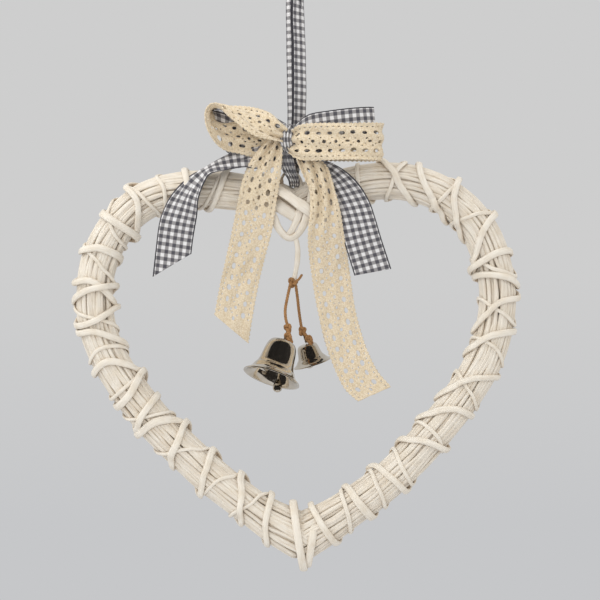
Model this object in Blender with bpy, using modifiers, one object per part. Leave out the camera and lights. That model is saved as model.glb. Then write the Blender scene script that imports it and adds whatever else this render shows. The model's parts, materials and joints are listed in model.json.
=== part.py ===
"""A heart of bound rattan that hangs by a ribbon loop, with a double bow and two bells on twine.

Metres, +Z up, +X to the right and -Y towards the viewer. The origin is the point inside the top
of the hanging loop where a peg bears.
"""

import math

import bpy
from mathutils import Matrix, Vector

OBJECT_NAME = "rattan_heart_bell"

# Clearance between pieces that touch
GAP = 0.0003

# Heart
HEART_WIDTH = 0.300
CLEFT_DROP = 0.178
CLEFT_OFFSET = -0.0017
BUNDLE_RADIUS = 0.0105
STICK_RELIEF = 0.0007
STICKS_ROUND = 6
ARM_STATIONS = 23
CENTRE_LINE_POINTS = 260

# Flat strands wound round the heart
THICK_WIDTH = 0.0048
THICK_DEPTH = 0.0030
THIN_WIDTH = 0.0026
THIN_DEPTH = 0.0018
TURNS_PER_ARM = 13
THICK_POINTS_PER_TURN = 10
THIN_POINTS_PER_TURN = 8
WINDING_FROM_CLEFT = 0.0315
WINDING_FROM_TIP = 0.026

# Lashings at the cleft and the tip
LASH_WIDTH = 0.0052
LASH_DEPTH = 0.0030
ARCH_WIDTH = 0.0032
ARCH_DEPTH = 0.0020
STRAND_WIDTH = 0.0030
STRAND_DEPTH = 0.0016
SADDLE_STATIONS = 25
ARCH_STATIONS = 14
STRAND_STATIONS = 9

# Ribbons
GINGHAM_WIDTH = 0.025
GINGHAM_THICK = 0.0006
LACE_WIDTH = 0.026
LACE_THICK = 0.0011
FOLDED_WIDTH = 0.0125
FOLDED_THICK = 0.0015
TIE_WIDTH = 0.0062
TIE_THICK = 0.0018
LOOP_GAP = 0.0105
BOW_SPAN = 0.118
LACE_TAIL_DROP = 0.150
GINGHAM_TAIL_DROP = 0.088
BOW_LOOP_STATIONS = 26
TAIL_STATIONS = 16
HANGING_LOOP_STATIONS = 51
TIE_STATIONS = 20

# Bow knot
KNOT_WIDTH = 0.0088
KNOT_HEIGHT = 0.0190
KNOT_DEPTH = 0.0160
KNOT_DROP = 0.1313
KNOT_OFFSET = -0.0054
KNOT_FORWARD = 0.0170

# How far a knot's edges are rounded, as a share of its least side, and in how many steps
KNOT_ROUNDING = 0.36
ROUND_STEPS = 2

# Bells
BELL_MOUTH = 0.0390
BELL_HEIGHT = 0.0270
SMALL_BELL_MOUTH = 0.0280
SMALL_BELL_HEIGHT = 0.0140
BELL_WALL = 0.0009
CROWN_WALL_SHARE = 0.8
CLAPPER_BALL = 0.0062
CLAPPER_ROD = 0.0018
BALL_BELOW_RIM = 0.45
RING_RADIUS = 0.0026
RING_WIRE = 0.0012
RING_STEPS = 12
WIRE_STEPS = 6
MERGE_DISTANCE = 0.00002

# Twine
TWINE_DIAMETER = 0.0022
TWINE_STATIONS = 9
TOP_KNOT_SIZE = (0.0076, 0.0055, 0.0058)
LOW_KNOT_SIZE = 0.0046

# Arm routes from the cleft to the tip, as shares of the heart's width
LEFT_ARM = [
    (0.000, 0.000), (-0.063, 0.029), (-0.149, 0.045), (-0.244, 0.047), (-0.334, 0.023),
    (-0.406, -0.045), (-0.445, -0.138), (-0.445, -0.251), (-0.406, -0.352), (-0.325, -0.463),
    (-0.199, -0.587), (-0.072, -0.684), (0.018, -0.736),
]
RIGHT_ARM = [
    (0.000, 0.000), (0.063, 0.036), (0.158, 0.063), (0.251, 0.065), (0.339, 0.034),
    (0.415, -0.038), (0.456, -0.149), (0.454, -0.255), (0.418, -0.359), (0.330, -0.483),
    (0.217, -0.603), (0.104, -0.684), (0.018, -0.736),
]

# Ribbon routes. A row holds the centre as x, y and z, the way the width points as its turn
# from +X in the view plane and its tip towards the viewer, in degrees, and the share of the
# ribbon's width that is left where it is gathered. Bow rows are shares of the bow's span
# from the knot's centre.
LACE_LOOP_RIGHT = [
    (0.046, -0.055, -0.011, 90, 0, 0.80), (0.109, -0.093, 0.000, 90, 0, 1.00),
    (0.236, -0.119, 0.000, 90, 0, 1.00), (0.379, -0.119, 0.000, 90, 0, 1.00),
    (0.483, -0.097, 0.000, 90, 0, 1.00), (0.529, -0.042, 0.000, 90, 0, 1.00),
    (0.489, 0.021, 0.000, 90, 0, 1.00), (0.379, 0.055, 0.000, 90, 0, 1.00),
    (0.236, 0.068, 0.000, 90, 0, 1.00), (0.109, 0.059, -0.006, 90, 0, 1.00),
    (0.046, 0.042, -0.011, 90, 0, 0.80),
]
GINGHAM_LOOP_RIGHT = [
    (0.046, -0.030, 0.012, 90, 0, 0.75), (0.132, -0.059, 0.046, 97, 0, 1.00),
    (0.247, -0.085, 0.069, 97, 0, 1.00), (0.368, -0.085, 0.086, 95, 0, 1.00),
    (0.448, -0.064, 0.095, 95, 0, 1.00), (0.491, -0.025, 0.098, 95, 0, 1.00),
    (0.448, 0.017, 0.095, 95, 0, 1.00), (0.368, 0.030, 0.086, 95, 0, 1.00),
    (0.247, 0.038, 0.069, 97, 0, 1.00), (0.132, 0.030, 0.046, 97, 0, 1.00),
    (0.046, 0.021, 0.012, 90, 0, 0.75),
]
LACE_LOOP_LEFT = [
    (-0.052, 0.025, -0.029, 90, 0, 0.45), (-0.155, 0.017, -0.023, 85, 0, 0.80),
    (-0.270, -0.008, 0.000, 78, 5, 0.98), (-0.374, -0.042, 0.034, 72, 8, 1.00),
    (-0.448, -0.025, 0.098, 80, 5, 1.00), (-0.440, 0.040, 0.150, 84, -20, 0.90),
    (-0.385, 0.068, 0.184, 80, -60, 0.80), (-0.345, 0.042, 0.192, 76, -72, 0.80),
    (-0.300, 0.010, 0.184, 72, -66, 0.85), (-0.213, -0.042, 0.150, 65, -60, 0.95),
    (-0.121, -0.085, 0.086, 65, -45, 0.75), (-0.046, -0.064, 0.040, 70, -20, 0.50),
]
GINGHAM_LOOP_LEFT = [
    (-0.052, 0.051, -0.040, 90, 0, 0.45), (-0.155, 0.045, -0.029, 85, 0, 0.85),
    (-0.264, 0.020, -0.010, 78, 5, 1.00), (-0.356, -0.010, 0.010, 72, 6, 1.00),
    (-0.405, 0.020, 0.030, 80, 2, 1.00), (-0.385, 0.070, 0.025, 90, 0, 1.00),
    (-0.330, 0.098, 0.020, 95, 0, 1.00), (-0.247, 0.102, 0.050, 100, 0, 1.00),
    (-0.184, 0.102, 0.075, 108, 0, 1.00), (-0.109, 0.095, 0.050, 112, 0, 0.80),
    (-0.052, 0.080, 0.010, 100, 0, 0.50),
]

# Tail rows are shares of the tail's drop from the knot's centre.
LACE_TAIL_LEFT = [
    (-0.068, -0.020, -0.010, 0, 0, 0.40), (-0.095, -0.027, -0.081, 0, 0, 0.75),
    (-0.117, -0.030, -0.171, -3, 0, 0.93), (-0.135, -0.027, -0.262, -8, 0, 0.97),
    (-0.158, 0.000, -0.388, -12, 0, 1.00), (-0.199, 0.040, -0.555, -15, 0, 0.96),
    (-0.230, 0.060, -0.695, -18, 0, 0.98), (-0.264, 0.073, -0.855, -35, 0, 1.05),
]
LACE_TAIL_RIGHT = [
    (0.062, -0.014, -0.078, 0, 0, 0.38), (0.092, -0.028, -0.126, 0, 0, 0.75),
    (0.117, -0.036, -0.217, 5, 0, 0.88), (0.140, -0.032, -0.329, 6, 0, 0.90),
    (0.153, 0.000, -0.451, 8, 0, 0.92), (0.176, 0.053, -0.587, 11, 0, 0.92),
    (0.208, 0.073, -0.727, 14, 0, 0.92), (0.239, 0.080, -0.857, 17, 0, 0.94),
    (0.275, 0.080, -0.966, 22, 0, 0.96), (0.325, 0.073, -1.070, 28, 0, 0.96),
    (0.386, 0.060, -1.135, 24, 0, 0.94),
]
GINGHAM_TAIL_LEFT = [
    (-0.069, 0.026, -0.176, 60, 0, 0.28), (-0.192, 0.000, -0.184, 80, 0, 0.34),
    (-0.354, -0.011, -0.177, 85, 0, 0.38), (-0.485, -0.017, -0.185, 78, 15, 0.40),
    (-0.608, -0.023, -0.215, 55, 20, 0.38), (-0.715, -0.034, -0.300, 25, 10, 0.65),
    (-0.792, -0.040, -0.438, -4, 0, 0.88), (-0.830, -0.034, -0.585, -8, 0, 0.94),
    (-0.850, -0.017, -0.740, -6, 0, 0.97), (-0.873, 0.000, -0.942, 34, 0, 1.18),
]
GINGHAM_TAIL_RIGHT = [
    (0.077, 0.028, -0.162, 75, 0, 0.30), (0.192, 0.023, -0.190, 60, 0, 0.35),
    (0.300, 0.000, -0.246, 40, 0, 0.55), (0.400, -0.017, -0.354, 20, 0, 0.82),
    (0.477, -0.023, -0.485, 12, 0, 0.94), (0.523, -0.017, -0.615, 8, 0, 0.96),
    (0.562, 0.011, -0.754, 14, 0, 0.98), (0.646, 0.057, -1.015, 15, 0, 1.00),
]

# Hanging loop rows: x and y as shares of the loop's gap and z as a share of the knot's drop,
# with the width's turn about the strand.
HANGING_LOOP = [
    (0.10, -0.42, -1.040, 0), (0.20, -0.50, -0.930, 0), (0.26, -0.53, -0.780, 2),
    (0.32, -0.46, -0.540, 12), (0.44, -0.29, -0.300, 38), (0.50, -0.10, -0.130, 68),
    (0.45, 0.00, -0.045, 86), (0.27, 0.00, -0.012, 90), (0.00, 0.00, 0.000, 90),
    (-0.27, 0.00, -0.012, 90), (-0.45, 0.00, -0.045, 94), (-0.50, 0.10, -0.130, 112),
    (-0.44, 0.15, -0.300, 142), (-0.32, 0.10, -0.540, 168), (-0.28, -0.06, -0.780, 178),
    (-0.28, -0.13, -0.930, 180), (-0.20, -0.13, -1.040, 180),
]

# The tie from the knot round the arch and up behind, in metres from the cleft's middle
RIBBON_TIE = [
    (-0.0034, -0.0170, 0.0362), (-0.0024, -0.0165, 0.0290), (-0.0010, -0.0135, 0.0216),
    (-0.0005, -0.0070, 0.0174), (-0.0005, 0.0000, 0.0166), (-0.0005, 0.0050, 0.0192),
    (-0.0002, 0.0062, 0.0250), (0.0004, 0.0028, 0.0330), (0.0012, -0.0022, 0.0402),
]

# Lashings, in metres from the cleft's middle: the arch that the tie passes under, the strand
# that holds both arms from below, and the closed turn that crosses in front of it
ARCH_MIDDLE = (0.0, -0.0040, 0.0100)
CLEFT_ARCH = [
    (-0.0079, -0.0034, 0.0154), (-0.0084, -0.0042, 0.0200), (-0.0072, -0.0044, 0.0238),
    (-0.0040, -0.0042, 0.0260), (-0.0006, -0.0040, 0.0262), (0.0026, -0.0042, 0.0240),
    (0.0045, -0.0048, 0.0200), (0.0050, -0.0050, 0.0158),
]
CLEFT_SADDLE = [
    (-0.0200, 0.0130, 0.0180), (-0.0206, 0.0000, 0.0240), (-0.0200, -0.0115, 0.0170),
    (-0.0182, -0.0146, 0.0055), (-0.0140, -0.0148, -0.0070), (-0.0084, -0.0128, -0.0156),
    (-0.0034, -0.0115, -0.0184), (0.0010, -0.0128, -0.0162), (0.0042, -0.0148, -0.0080),
    (0.0064, -0.0148, 0.0030), (0.0098, -0.0122, 0.0140), (0.0134, 0.0000, 0.0235),
    (0.0130, 0.0130, 0.0180),
]
CLEFT_CROSS = [
    (-0.0136, 0.0000, 0.0207), (-0.0122, -0.0110, 0.0170), (-0.0066, -0.0170, 0.0105),
    (0.0006, -0.0190, 0.0052), (0.0080, -0.0192, 0.0012), (0.0138, -0.0180, -0.0018),
    (0.0178, -0.0125, -0.0040), (0.0190, 0.0000, -0.0050), (0.0165, 0.0095, -0.0010),
    (0.0080, 0.0145, 0.0040), (-0.0010, 0.0148, 0.0090), (-0.0090, 0.0118, 0.0168),
]
TIP_LASH_TOP = 0.0235
TIP_LASH_BOTTOM = 0.0215
TIP_LASH_DEPTH = 0.0150
TIP_LASH_SPREAD = 0.0062
TIP_LASH_CLOSE = 0.0030
TIP_LASH_POINTS = 14

# The bell strand and twine, in metres from the cleft's middle
BELL_STRAND = [
    (0.0014, -0.0118, -0.0218), (0.0026, -0.0098, -0.0275), (0.0022, -0.0070, -0.0350),
    (0.0004, -0.0032, -0.0451),
]
TOP_KNOT = (-0.0008, -0.0025, -0.0484)
LOW_KNOT_LEFT = (-0.0040, -0.0082, -0.0792)
LOW_KNOT_RIGHT = (0.0056, 0.0066, -0.0812)
TWINE_LEFT = [
    (-0.0026, -0.0030, -0.0519), (-0.0044, -0.0045, -0.0595), (-0.0058, -0.0058, -0.0665),
    (-0.0056, -0.0070, -0.0720), (-0.0046, -0.0078, -0.0765),
]
TWINE_RIGHT = [
    (0.0010, -0.0018, -0.0519), (0.0025, 0.0005, -0.0595), (0.0033, 0.0030, -0.0670),
    (0.0042, 0.0050, -0.0735), (0.0050, 0.0060, -0.0785),
]
BELL_AXIS = (-0.30, -0.30, -0.90)
SMALL_BELL_AXIS = (0.30, 0.10, -0.95)
CLAPPER_AXIS = (-0.12, -0.20, -0.97)
SMALL_CLAPPER_AXIS = (0.12, 0.04, -0.99)

# Bell profile from the crown's middle down the outside: shares of mouth radius and height
BELL_PROFILE = [
    (0.00, 1.00), (0.24, 0.99), (0.40, 0.95), (0.47, 0.86), (0.50, 0.70), (0.54, 0.50),
    (0.61, 0.33), (0.73, 0.18), (0.88, 0.07), (1.00, 0.00),
]
BELL_STEPS = 18
CLAPPER_STEPS = 10
CLAPPER_BANDS = 6

# How finely a route's curve is followed between two of its points
CURVE_STEPS = 24


def clear_scene():
    """Remove every object that the file holds."""
    for obj in list(bpy.data.objects):
        bpy.data.objects.remove(obj)


def collection(name):
    """A collection of this name, linked to the scene."""
    made = bpy.data.collections.new(name)
    bpy.context.scene.collection.children.link(made)
    return made


def material(name, colour, roughness, metallic=0.0):
    """A plain Principled material."""
    made = bpy.data.materials.new(name)
    made.use_nodes = True
    shader = made.node_tree.nodes["Principled BSDF"]
    shader.inputs["Base Color"].default_value = (*colour, 1.0)
    shader.inputs["Roughness"].default_value = roughness
    shader.inputs["Metallic"].default_value = metallic
    return made


def add_object(name, data, finish, parts):
    """An object of this data and material in the parts' collection."""
    obj = bpy.data.objects.new(name, data)
    data.materials.append(finish)
    parts.objects.link(obj)
    return obj


def spline_point(points, at):
    """The point at a fractional index of a smooth curve through the points."""
    last = len(points) - 1
    start = min(int(at), last - 1)
    t = at - start
    p1 = points[start]
    p2 = points[start + 1]
    p0 = points[start - 1] if start > 0 else 2 * p1 - p2
    p3 = points[start + 2] if start + 2 <= last else 2 * p2 - p1
    ahead = (p2 - p0) * 0.5
    behind = (p3 - p1) * 0.5
    return (
        (2 * t**3 - 3 * t**2 + 1) * p1 + (t**3 - 2 * t**2 + t) * ahead
        + (3 * t**2 - 2 * t**3) * p2 + (t**3 - t**2) * behind
    )


def resample(points, count):
    """Evenly spaced points along a smooth curve through the given ones."""
    steps = (len(points) - 1) * CURVE_STEPS
    dense = [spline_point(points, i / CURVE_STEPS) for i in range(steps + 1)]
    reach = [0.0]
    for a, b in zip(dense, dense[1:]):
        reach.append(reach[-1] + (b - a).length)
    made = []
    seek = 0
    for i in range(count):
        want = reach[-1] * i / (count - 1)
        while seek < steps - 1 and reach[seek + 1] < want:
            seek += 1
        share = (want - reach[seek]) / (reach[seek + 1] - reach[seek])
        made.append(dense[seek].lerp(dense[seek + 1], min(1.0, share)))
    return made


def loft(name, rings, finish, parts, closed=False):
    """A solid through rings of equally many points, capped at both ends unless it closes."""
    size = len(rings[0])
    points = [p for ring in rings for p in ring]
    count = len(rings)
    faces = []
    for i in range(count if closed else count - 1):
        a = i * size
        b = ((i + 1) % count) * size
        for j in range(size):
            k = (j + 1) % size
            faces.append((a + j, a + k, b + k, b + j))
    if not closed:
        faces.append(tuple(reversed(range(size))))
        faces.append(tuple((count - 1) * size + j for j in range(size)))
    mesh = bpy.data.meshes.new(name)
    mesh.from_pydata(points, [], faces)
    mesh.shade_smooth()
    return add_object(name, mesh, finish, parts)


def along(points, i, closed=False):
    """The direction of travel at one of the points."""
    count = len(points)
    if closed:
        return (points[(i + 1) % count] - points[i - 1]).normalized()
    return (points[min(i + 1, count - 1)] - points[max(i - 1, 0)]).normalized()


def flat_strand(name, points, outward, width, depth, finish, parts, closed=False):
    """A strand of flat section whose broad side faces outward at each of its points."""
    rings = []
    for i, point in enumerate(points):
        ahead = along(points, i, closed)
        side = ahead.cross(outward[i]).normalized()
        out = side.cross(ahead)
        corners = ((-1, -1), (-1, 1), (1, 1), (1, -1))
        rings.append([
            point + side * (a * width / 2) + out * (b * depth / 2) for a, b in corners
        ])
    return loft(name, rings, finish, parts, closed)


class Arm:
    """The centre line of one half of the heart, with angles round it from the inner side."""

    def __init__(self, shares, side):
        middle = cleft()
        route = [middle + Vector((x * HEART_WIDTH, 0, z * HEART_WIDTH)) for x, z in shares]
        self.points = resample(route, CENTRE_LINE_POINTS)
        self.side = side
        spans = [(b - a).length for a, b in zip(self.points, self.points[1:])]
        self.length = sum(spans)

    def at(self, distance):
        """The centre and direction at a distance from the cleft."""
        place = max(0.0, min(1.0, distance / self.length)) * (len(self.points) - 1)
        i = min(int(place), len(self.points) - 2)
        a = self.points[i]
        b = self.points[i + 1]
        return a.lerp(b, place - i), (b - a).normalized()

    def outward(self, distance, angle):
        """The unit vector away from the centre line, turned from the inner side to the front."""
        ahead = self.at(distance)[1]
        inner = Vector((-ahead.z, 0, ahead.x)) * self.side
        return inner * math.cos(angle) + Vector((0, -1, 0)) * math.sin(angle)

    def on(self, distance, angle, radius):
        """A point at a distance along, an angle round and a radius from the centre line."""
        return self.at(distance)[0] + self.outward(distance, angle) * radius


def cleft():
    """The middle of the joint between the two arms at the top."""
    return Vector((CLEFT_OFFSET, 0, -CLEFT_DROP))


def knot_centre():
    """The middle of the bow's knot."""
    return Vector((KNOT_OFFSET, -KNOT_FORWARD, -KNOT_DROP))


def bundle(name, arm, finish, parts):
    """Sticks bound side by side: a ribbed bar, mitred upright where it meets the other arm."""
    count = STICKS_ROUND * 2
    rings = []
    for i in range(ARM_STATIONS):
        distance = arm.length * i / (ARM_STATIONS - 1)
        centre, ahead = arm.at(distance)
        ring = []
        for j in range(count):
            radius = BUNDLE_RADIUS - STICK_RELIEF * (j % 2)
            out = arm.outward(distance, math.tau * j / count)
            point = centre + out * radius
            if i in (0, ARM_STATIONS - 1):
                inwards = arm.side * GAP / 2
                point += ahead * ((centre.x + inwards - point.x) / ahead.x)
            ring.append(point)
        rings.append(ring if arm.side > 0 else ring[::-1])
    return loft(name, rings, finish, parts)


def winding_radius(depth, per_turn):
    """How far from the centre line a strand's corners lie, so that its straights clear it."""
    return (BUNDLE_RADIUS + 2 * GAP + depth / 2) / math.cos(math.pi / per_turn)


def winding(name, arm, hand, per_turn, width, depth, lift, finish, parts):
    """A strand wound round an arm, raised by lift where it passes over the other one."""
    radius = winding_radius(depth, per_turn)
    run = arm.length - WINDING_FROM_CLEFT - WINDING_FROM_TIP
    count = TURNS_PER_ARM * per_turn
    points = []
    outward = []
    for i in range(count + 1):
        distance = WINDING_FROM_CLEFT + run * i / count
        angle = hand * math.tau * i / per_turn
        points.append(arm.on(distance, angle, radius + lift * abs(math.cos(angle))))
        outward.append(arm.outward(distance, angle))
    return flat_strand(name, points, outward, width, depth, finish, parts)


def wind_arm(label, arm, finish, parts):
    """Both strands of one arm: the thick one rides over the thin one at each crossing."""
    under = winding_radius(THIN_DEPTH, THIN_POINTS_PER_TURN) + THIN_DEPTH / 2
    plain = winding_radius(THICK_DEPTH, THICK_POINTS_PER_TURN) - THICK_DEPTH / 2
    lift = under - plain + 3 * GAP
    winding(
        f"thick_strand_{label}", arm, 1, THICK_POINTS_PER_TURN, THICK_WIDTH, THICK_DEPTH, lift,
        finish, parts,
    )
    winding(
        f"thin_strand_{label}", arm, -1, THIN_POINTS_PER_TURN, THIN_WIDTH, THIN_DEPTH, 0.0,
        finish, parts,
    )


def from_cleft(rows):
    """Points given from the cleft's middle, in the object's frame."""
    return [cleft() + Vector(row) for row in rows]


def away_from(centre, points):
    """Directions from a centre line along X to each point."""
    return [Vector((0, p.y - centre.y, p.z - centre.z)).normalized() for p in points]


def cleft_lashings(finish, parts):
    """The strands that bind the arms at the cleft, and the arch that the tie hangs."""
    saddle = resample(from_cleft(CLEFT_SADDLE), SADDLE_STATIONS)
    flat_strand(
        "cleft_saddle", saddle, away_from(cleft(), saddle), LASH_WIDTH, LASH_DEPTH, finish, parts
    )
    cross = from_cleft(CLEFT_CROSS)
    flat_strand(
        "cleft_cross", cross, away_from(cleft(), cross), LASH_WIDTH, LASH_DEPTH, finish, parts,
        closed=True,
    )
    arch = resample(from_cleft(CLEFT_ARCH), ARCH_STATIONS)
    low = cleft() + Vector(ARCH_MIDDLE)
    flat_strand(
        "cleft_arch", arch, [(p - low).normalized() for p in arch], ARCH_WIDTH, ARCH_DEPTH,
        finish, parts,
    )
    strand = resample(from_cleft(BELL_STRAND), STRAND_STATIONS)
    flat_strand(
        "bell_strand", strand, [Vector((0, -1, 0))] * len(strand), STRAND_WIDTH, STRAND_DEPTH,
        finish, parts,
    )


def tip_lashings(tip, finish, parts):
    """Two turns side by side round the tip, spread at the top and drawn together below."""
    for label, side in (("left", -1), ("right", 1)):
        points = []
        for i in range(TIP_LASH_POINTS):
            angle = math.tau * i / TIP_LASH_POINTS
            up = math.cos(angle)
            height = TIP_LASH_TOP if up > 0 else TIP_LASH_BOTTOM
            spread = TIP_LASH_CLOSE + (TIP_LASH_SPREAD - TIP_LASH_CLOSE) * (1 + up) / 2
            points.append(tip + Vector((
                side * spread, -TIP_LASH_DEPTH * math.sin(angle), height * up
            )))
        flat_strand(
            f"tip_lashing_{label}", points, away_from(tip, points), LASH_WIDTH, LASH_DEPTH,
            finish, parts, closed=True,
        )


def width_way(turn, tip):
    """The unit vector across a ribbon from its turn in the view plane and its tip forwards."""
    turn = math.radians(turn)
    tip = math.radians(tip)
    return Vector((
        math.cos(tip) * math.cos(turn), -math.sin(tip), math.cos(tip) * math.sin(turn)
    ))


def ribbon(name, rows, width, thick, count, finish, parts):
    """A strip of cloth of true thickness from rows of centre, width direction and share."""
    centres = resample([row[0] for row in rows], count)
    ways = [row[1] * row[2] for row in rows]
    spans = [0.0]
    for a, b in zip(rows, rows[1:]):
        spans.append(spans[-1] + (b[0] - a[0]).length)
    mesh = bpy.data.meshes.new(name)
    points = []
    for i, centre in enumerate(centres):
        want = spans[-1] * i / (count - 1)
        seek = max(k for k in range(len(rows) - 1) if spans[k] <= want or k == 0)
        at = seek + min(1.0, (want - spans[seek]) / (spans[seek + 1] - spans[seek]))
        half = spline_point(ways, at) * (width / 2)
        points += [centre - half, centre + half]
    faces = [(2 * i, 2 * i + 1, 2 * i + 3, 2 * i + 2) for i in range(count - 1)]
    mesh.from_pydata(points, [], faces)
    mesh.shade_smooth()
    obj = add_object(name, mesh, finish, parts)
    solidify = obj.modifiers.new("thickness", "SOLIDIFY")
    solidify.thickness = thick
    solidify.offset = 0.0
    return obj


def scaled_rows(rows, size):
    """Ribbon rows given as shares of a size from the knot's centre."""
    return [
        (knot_centre() + Vector((x, y, z)) * size, width_way(turn, tip), share)
        for x, y, z, turn, tip, share in rows
    ]


def bow(gingham, lace, parts):
    """The bow's loops and tails, lace outside and gingham inside."""
    loops = (
        ("lace_loop_right", LACE_LOOP_RIGHT, LACE_WIDTH, LACE_THICK, lace),
        ("lace_loop_left", LACE_LOOP_LEFT, LACE_WIDTH, LACE_THICK, lace),
        ("gingham_loop_right", GINGHAM_LOOP_RIGHT, GINGHAM_WIDTH, GINGHAM_THICK, gingham),
        ("gingham_loop_left", GINGHAM_LOOP_LEFT, GINGHAM_WIDTH, GINGHAM_THICK, gingham),
    )
    for name, rows, width, thick, finish in loops:
        placed = scaled_rows(rows, BOW_SPAN)
        ribbon(name, placed, width, thick, BOW_LOOP_STATIONS, finish, parts)
    lace_tails = (("lace_tail_left", LACE_TAIL_LEFT), ("lace_tail_right", LACE_TAIL_RIGHT))
    for name, rows in lace_tails:
        placed = scaled_rows(rows, LACE_TAIL_DROP)
        ribbon(name, placed, LACE_WIDTH, LACE_THICK, TAIL_STATIONS, lace, parts)
    tails = (
        ("gingham_tail_left", GINGHAM_TAIL_LEFT), ("gingham_tail_right", GINGHAM_TAIL_RIGHT)
    )
    for name, rows in tails:
        placed = scaled_rows(rows, GINGHAM_TAIL_DROP)
        ribbon(name, placed, GINGHAM_WIDTH, GINGHAM_THICK, TAIL_STATIONS, gingham, parts)


def hanging_loop(gingham, parts):
    """The lengthwise folded ribbon that hangs the heart, turned edge on over its peg."""
    rows = [
        (
            Vector((x * LOOP_GAP, y * LOOP_GAP, FOLDED_THICK / 2 + z * KNOT_DROP)),
            width_way(0, turn), 1.0,
        )
        for x, y, z, turn in HANGING_LOOP
    ]
    ribbon(
        "hanging_loop", rows, FOLDED_WIDTH, FOLDED_THICK, HANGING_LOOP_STATIONS, gingham, parts
    )


def ribbon_tie(gingham, parts):
    """The gathered ribbon that passes under the arch and carries the heart."""
    rows = [(point, Vector((1, 0, 0)), 1.0) for point in from_cleft(RIBBON_TIE)]
    ribbon("ribbon_tie", rows, TIE_WIDTH, TIE_THICK, TIE_STATIONS, gingham, parts)


def rounded_block(name, centre, size, finish, parts):
    """A soft knot: a block of the given size with its edges well rounded."""
    bpy.ops.mesh.primitive_cube_add(size=1.0)
    obj = bpy.context.object
    obj.name = name
    obj.data.name = name
    obj.data.transform(Matrix.Diagonal((*size, 1.0)))
    obj.location = centre
    bevel = obj.modifiers.new("round", "BEVEL")
    bevel.width = min(size) * KNOT_ROUNDING
    bevel.segments = ROUND_STEPS
    obj.data.shade_smooth()
    obj.data.materials.append(finish)
    for home in list(obj.users_collection):
        home.objects.unlink(obj)
    parts.objects.link(obj)
    return obj


def bell_profile(mouth, height, wall):
    """The closed run of a bell's section: down the outside, round the rim and up inside."""
    outer = [(r * mouth / 2, z * height) for r, z in BELL_PROFILE]
    inner = [(max(0.0, r - wall), z - wall * CROWN_WALL_SHARE) for r, z in outer[-2::-1]]
    rim = (mouth / 2 - wall, 0.0)
    return outer + [rim] + inner


def turned(name, profile, steps, finish, parts):
    """A shape turned from its profile, with its axis on Z."""
    mesh = bpy.data.meshes.new(name)
    edges = [(i, i + 1) for i in range(len(profile) - 1)]
    mesh.from_pydata([(r, 0, z) for r, z in profile], edges, [])
    obj = add_object(name, mesh, finish, parts)
    screw = obj.modifiers.new("turn", "SCREW")
    screw.axis = "Z"
    screw.steps = steps
    screw.render_steps = steps
    screw.use_merge_vertices = True
    screw.merge_threshold = MERGE_DISTANCE
    screw.use_smooth_shade = True
    return obj


def aimed(top, axis):
    """The matrix that puts a turned shape's foot down an axis from a point at its top."""
    down = Vector(axis).normalized()
    turn = (-down).to_track_quat("Z", "Y").to_matrix().to_4x4()
    return Matrix.Translation(top) @ turn


def clapper_profile(ball, rod, length):
    """A rod with a ball at its foot, from the top down."""
    profile = [(0.0, 0.0), (rod / 2, 0.0)]
    radius = ball / 2
    middle = radius - length
    start = math.asin(rod / ball)
    for i in range(CLAPPER_BANDS + 1):
        angle = start + (math.pi - start) * i / CLAPPER_BANDS
        profile.append((radius * math.sin(angle), middle + radius * math.cos(angle)))
    profile[-1] = (0.0, -length)
    return profile


def bell(label, knot, mouth, height, axis, clapper_axis, finish, parts):
    """A bell with its ring and clapper, hung below its twine knot."""
    down = Vector(axis).normalized()
    ring_middle = knot + down * (LOW_KNOT_SIZE / 2 + RING_RADIUS + RING_WIRE / 2 + GAP)
    crown = ring_middle + down * (RING_RADIUS + RING_WIRE / 2 + GAP)
    section = bell_profile(mouth, height, BELL_WALL)
    shell = turned(f"bell_{label}", section, BELL_STEPS, finish, parts)
    shell.matrix_world = aimed(crown + down * height, axis)
    bpy.ops.mesh.primitive_torus_add(
        major_radius=RING_RADIUS, minor_radius=RING_WIRE / 2, major_segments=RING_STEPS,
        minor_segments=WIRE_STEPS,
    )
    ring = bpy.context.object
    ring.name = f"bell_ring_{label}"
    ring.data.name = ring.name
    ring.data.shade_smooth()
    ring.data.materials.append(finish)
    for home in list(ring.users_collection):
        home.objects.unlink(ring)
    parts.objects.link(ring)
    ring.matrix_world = aimed(ring_middle, axis) @ Matrix.Rotation(math.pi / 2, 4, "X")
    inside = crown + down * (BELL_WALL + 2 * GAP)
    length = height - BELL_WALL + CLAPPER_BALL * BALL_BELOW_RIM
    section = clapper_profile(CLAPPER_BALL, CLAPPER_ROD, length)
    clapper = turned(f"bell_clapper_{label}", section, CLAPPER_STEPS, finish, parts)
    clapper.matrix_world = aimed(inside, clapper_axis)


def twine_run(name, rows, finish, parts):
    """A length of twine as a round tube through its route's points."""
    points = resample(from_cleft(rows), TWINE_STATIONS)
    curve = bpy.data.curves.new(name, "CURVE")
    curve.dimensions = "3D"
    curve.bevel_depth = TWINE_DIAMETER / 2
    curve.bevel_resolution = ROUND_STEPS
    curve.use_fill_caps = True
    spline = curve.splines.new("POLY")
    spline.points.add(len(points) - 1)
    for spot, point in zip(spline.points, points):
        spot.co = (*point, 1.0)
    return add_object(name, curve, finish, parts)


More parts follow.
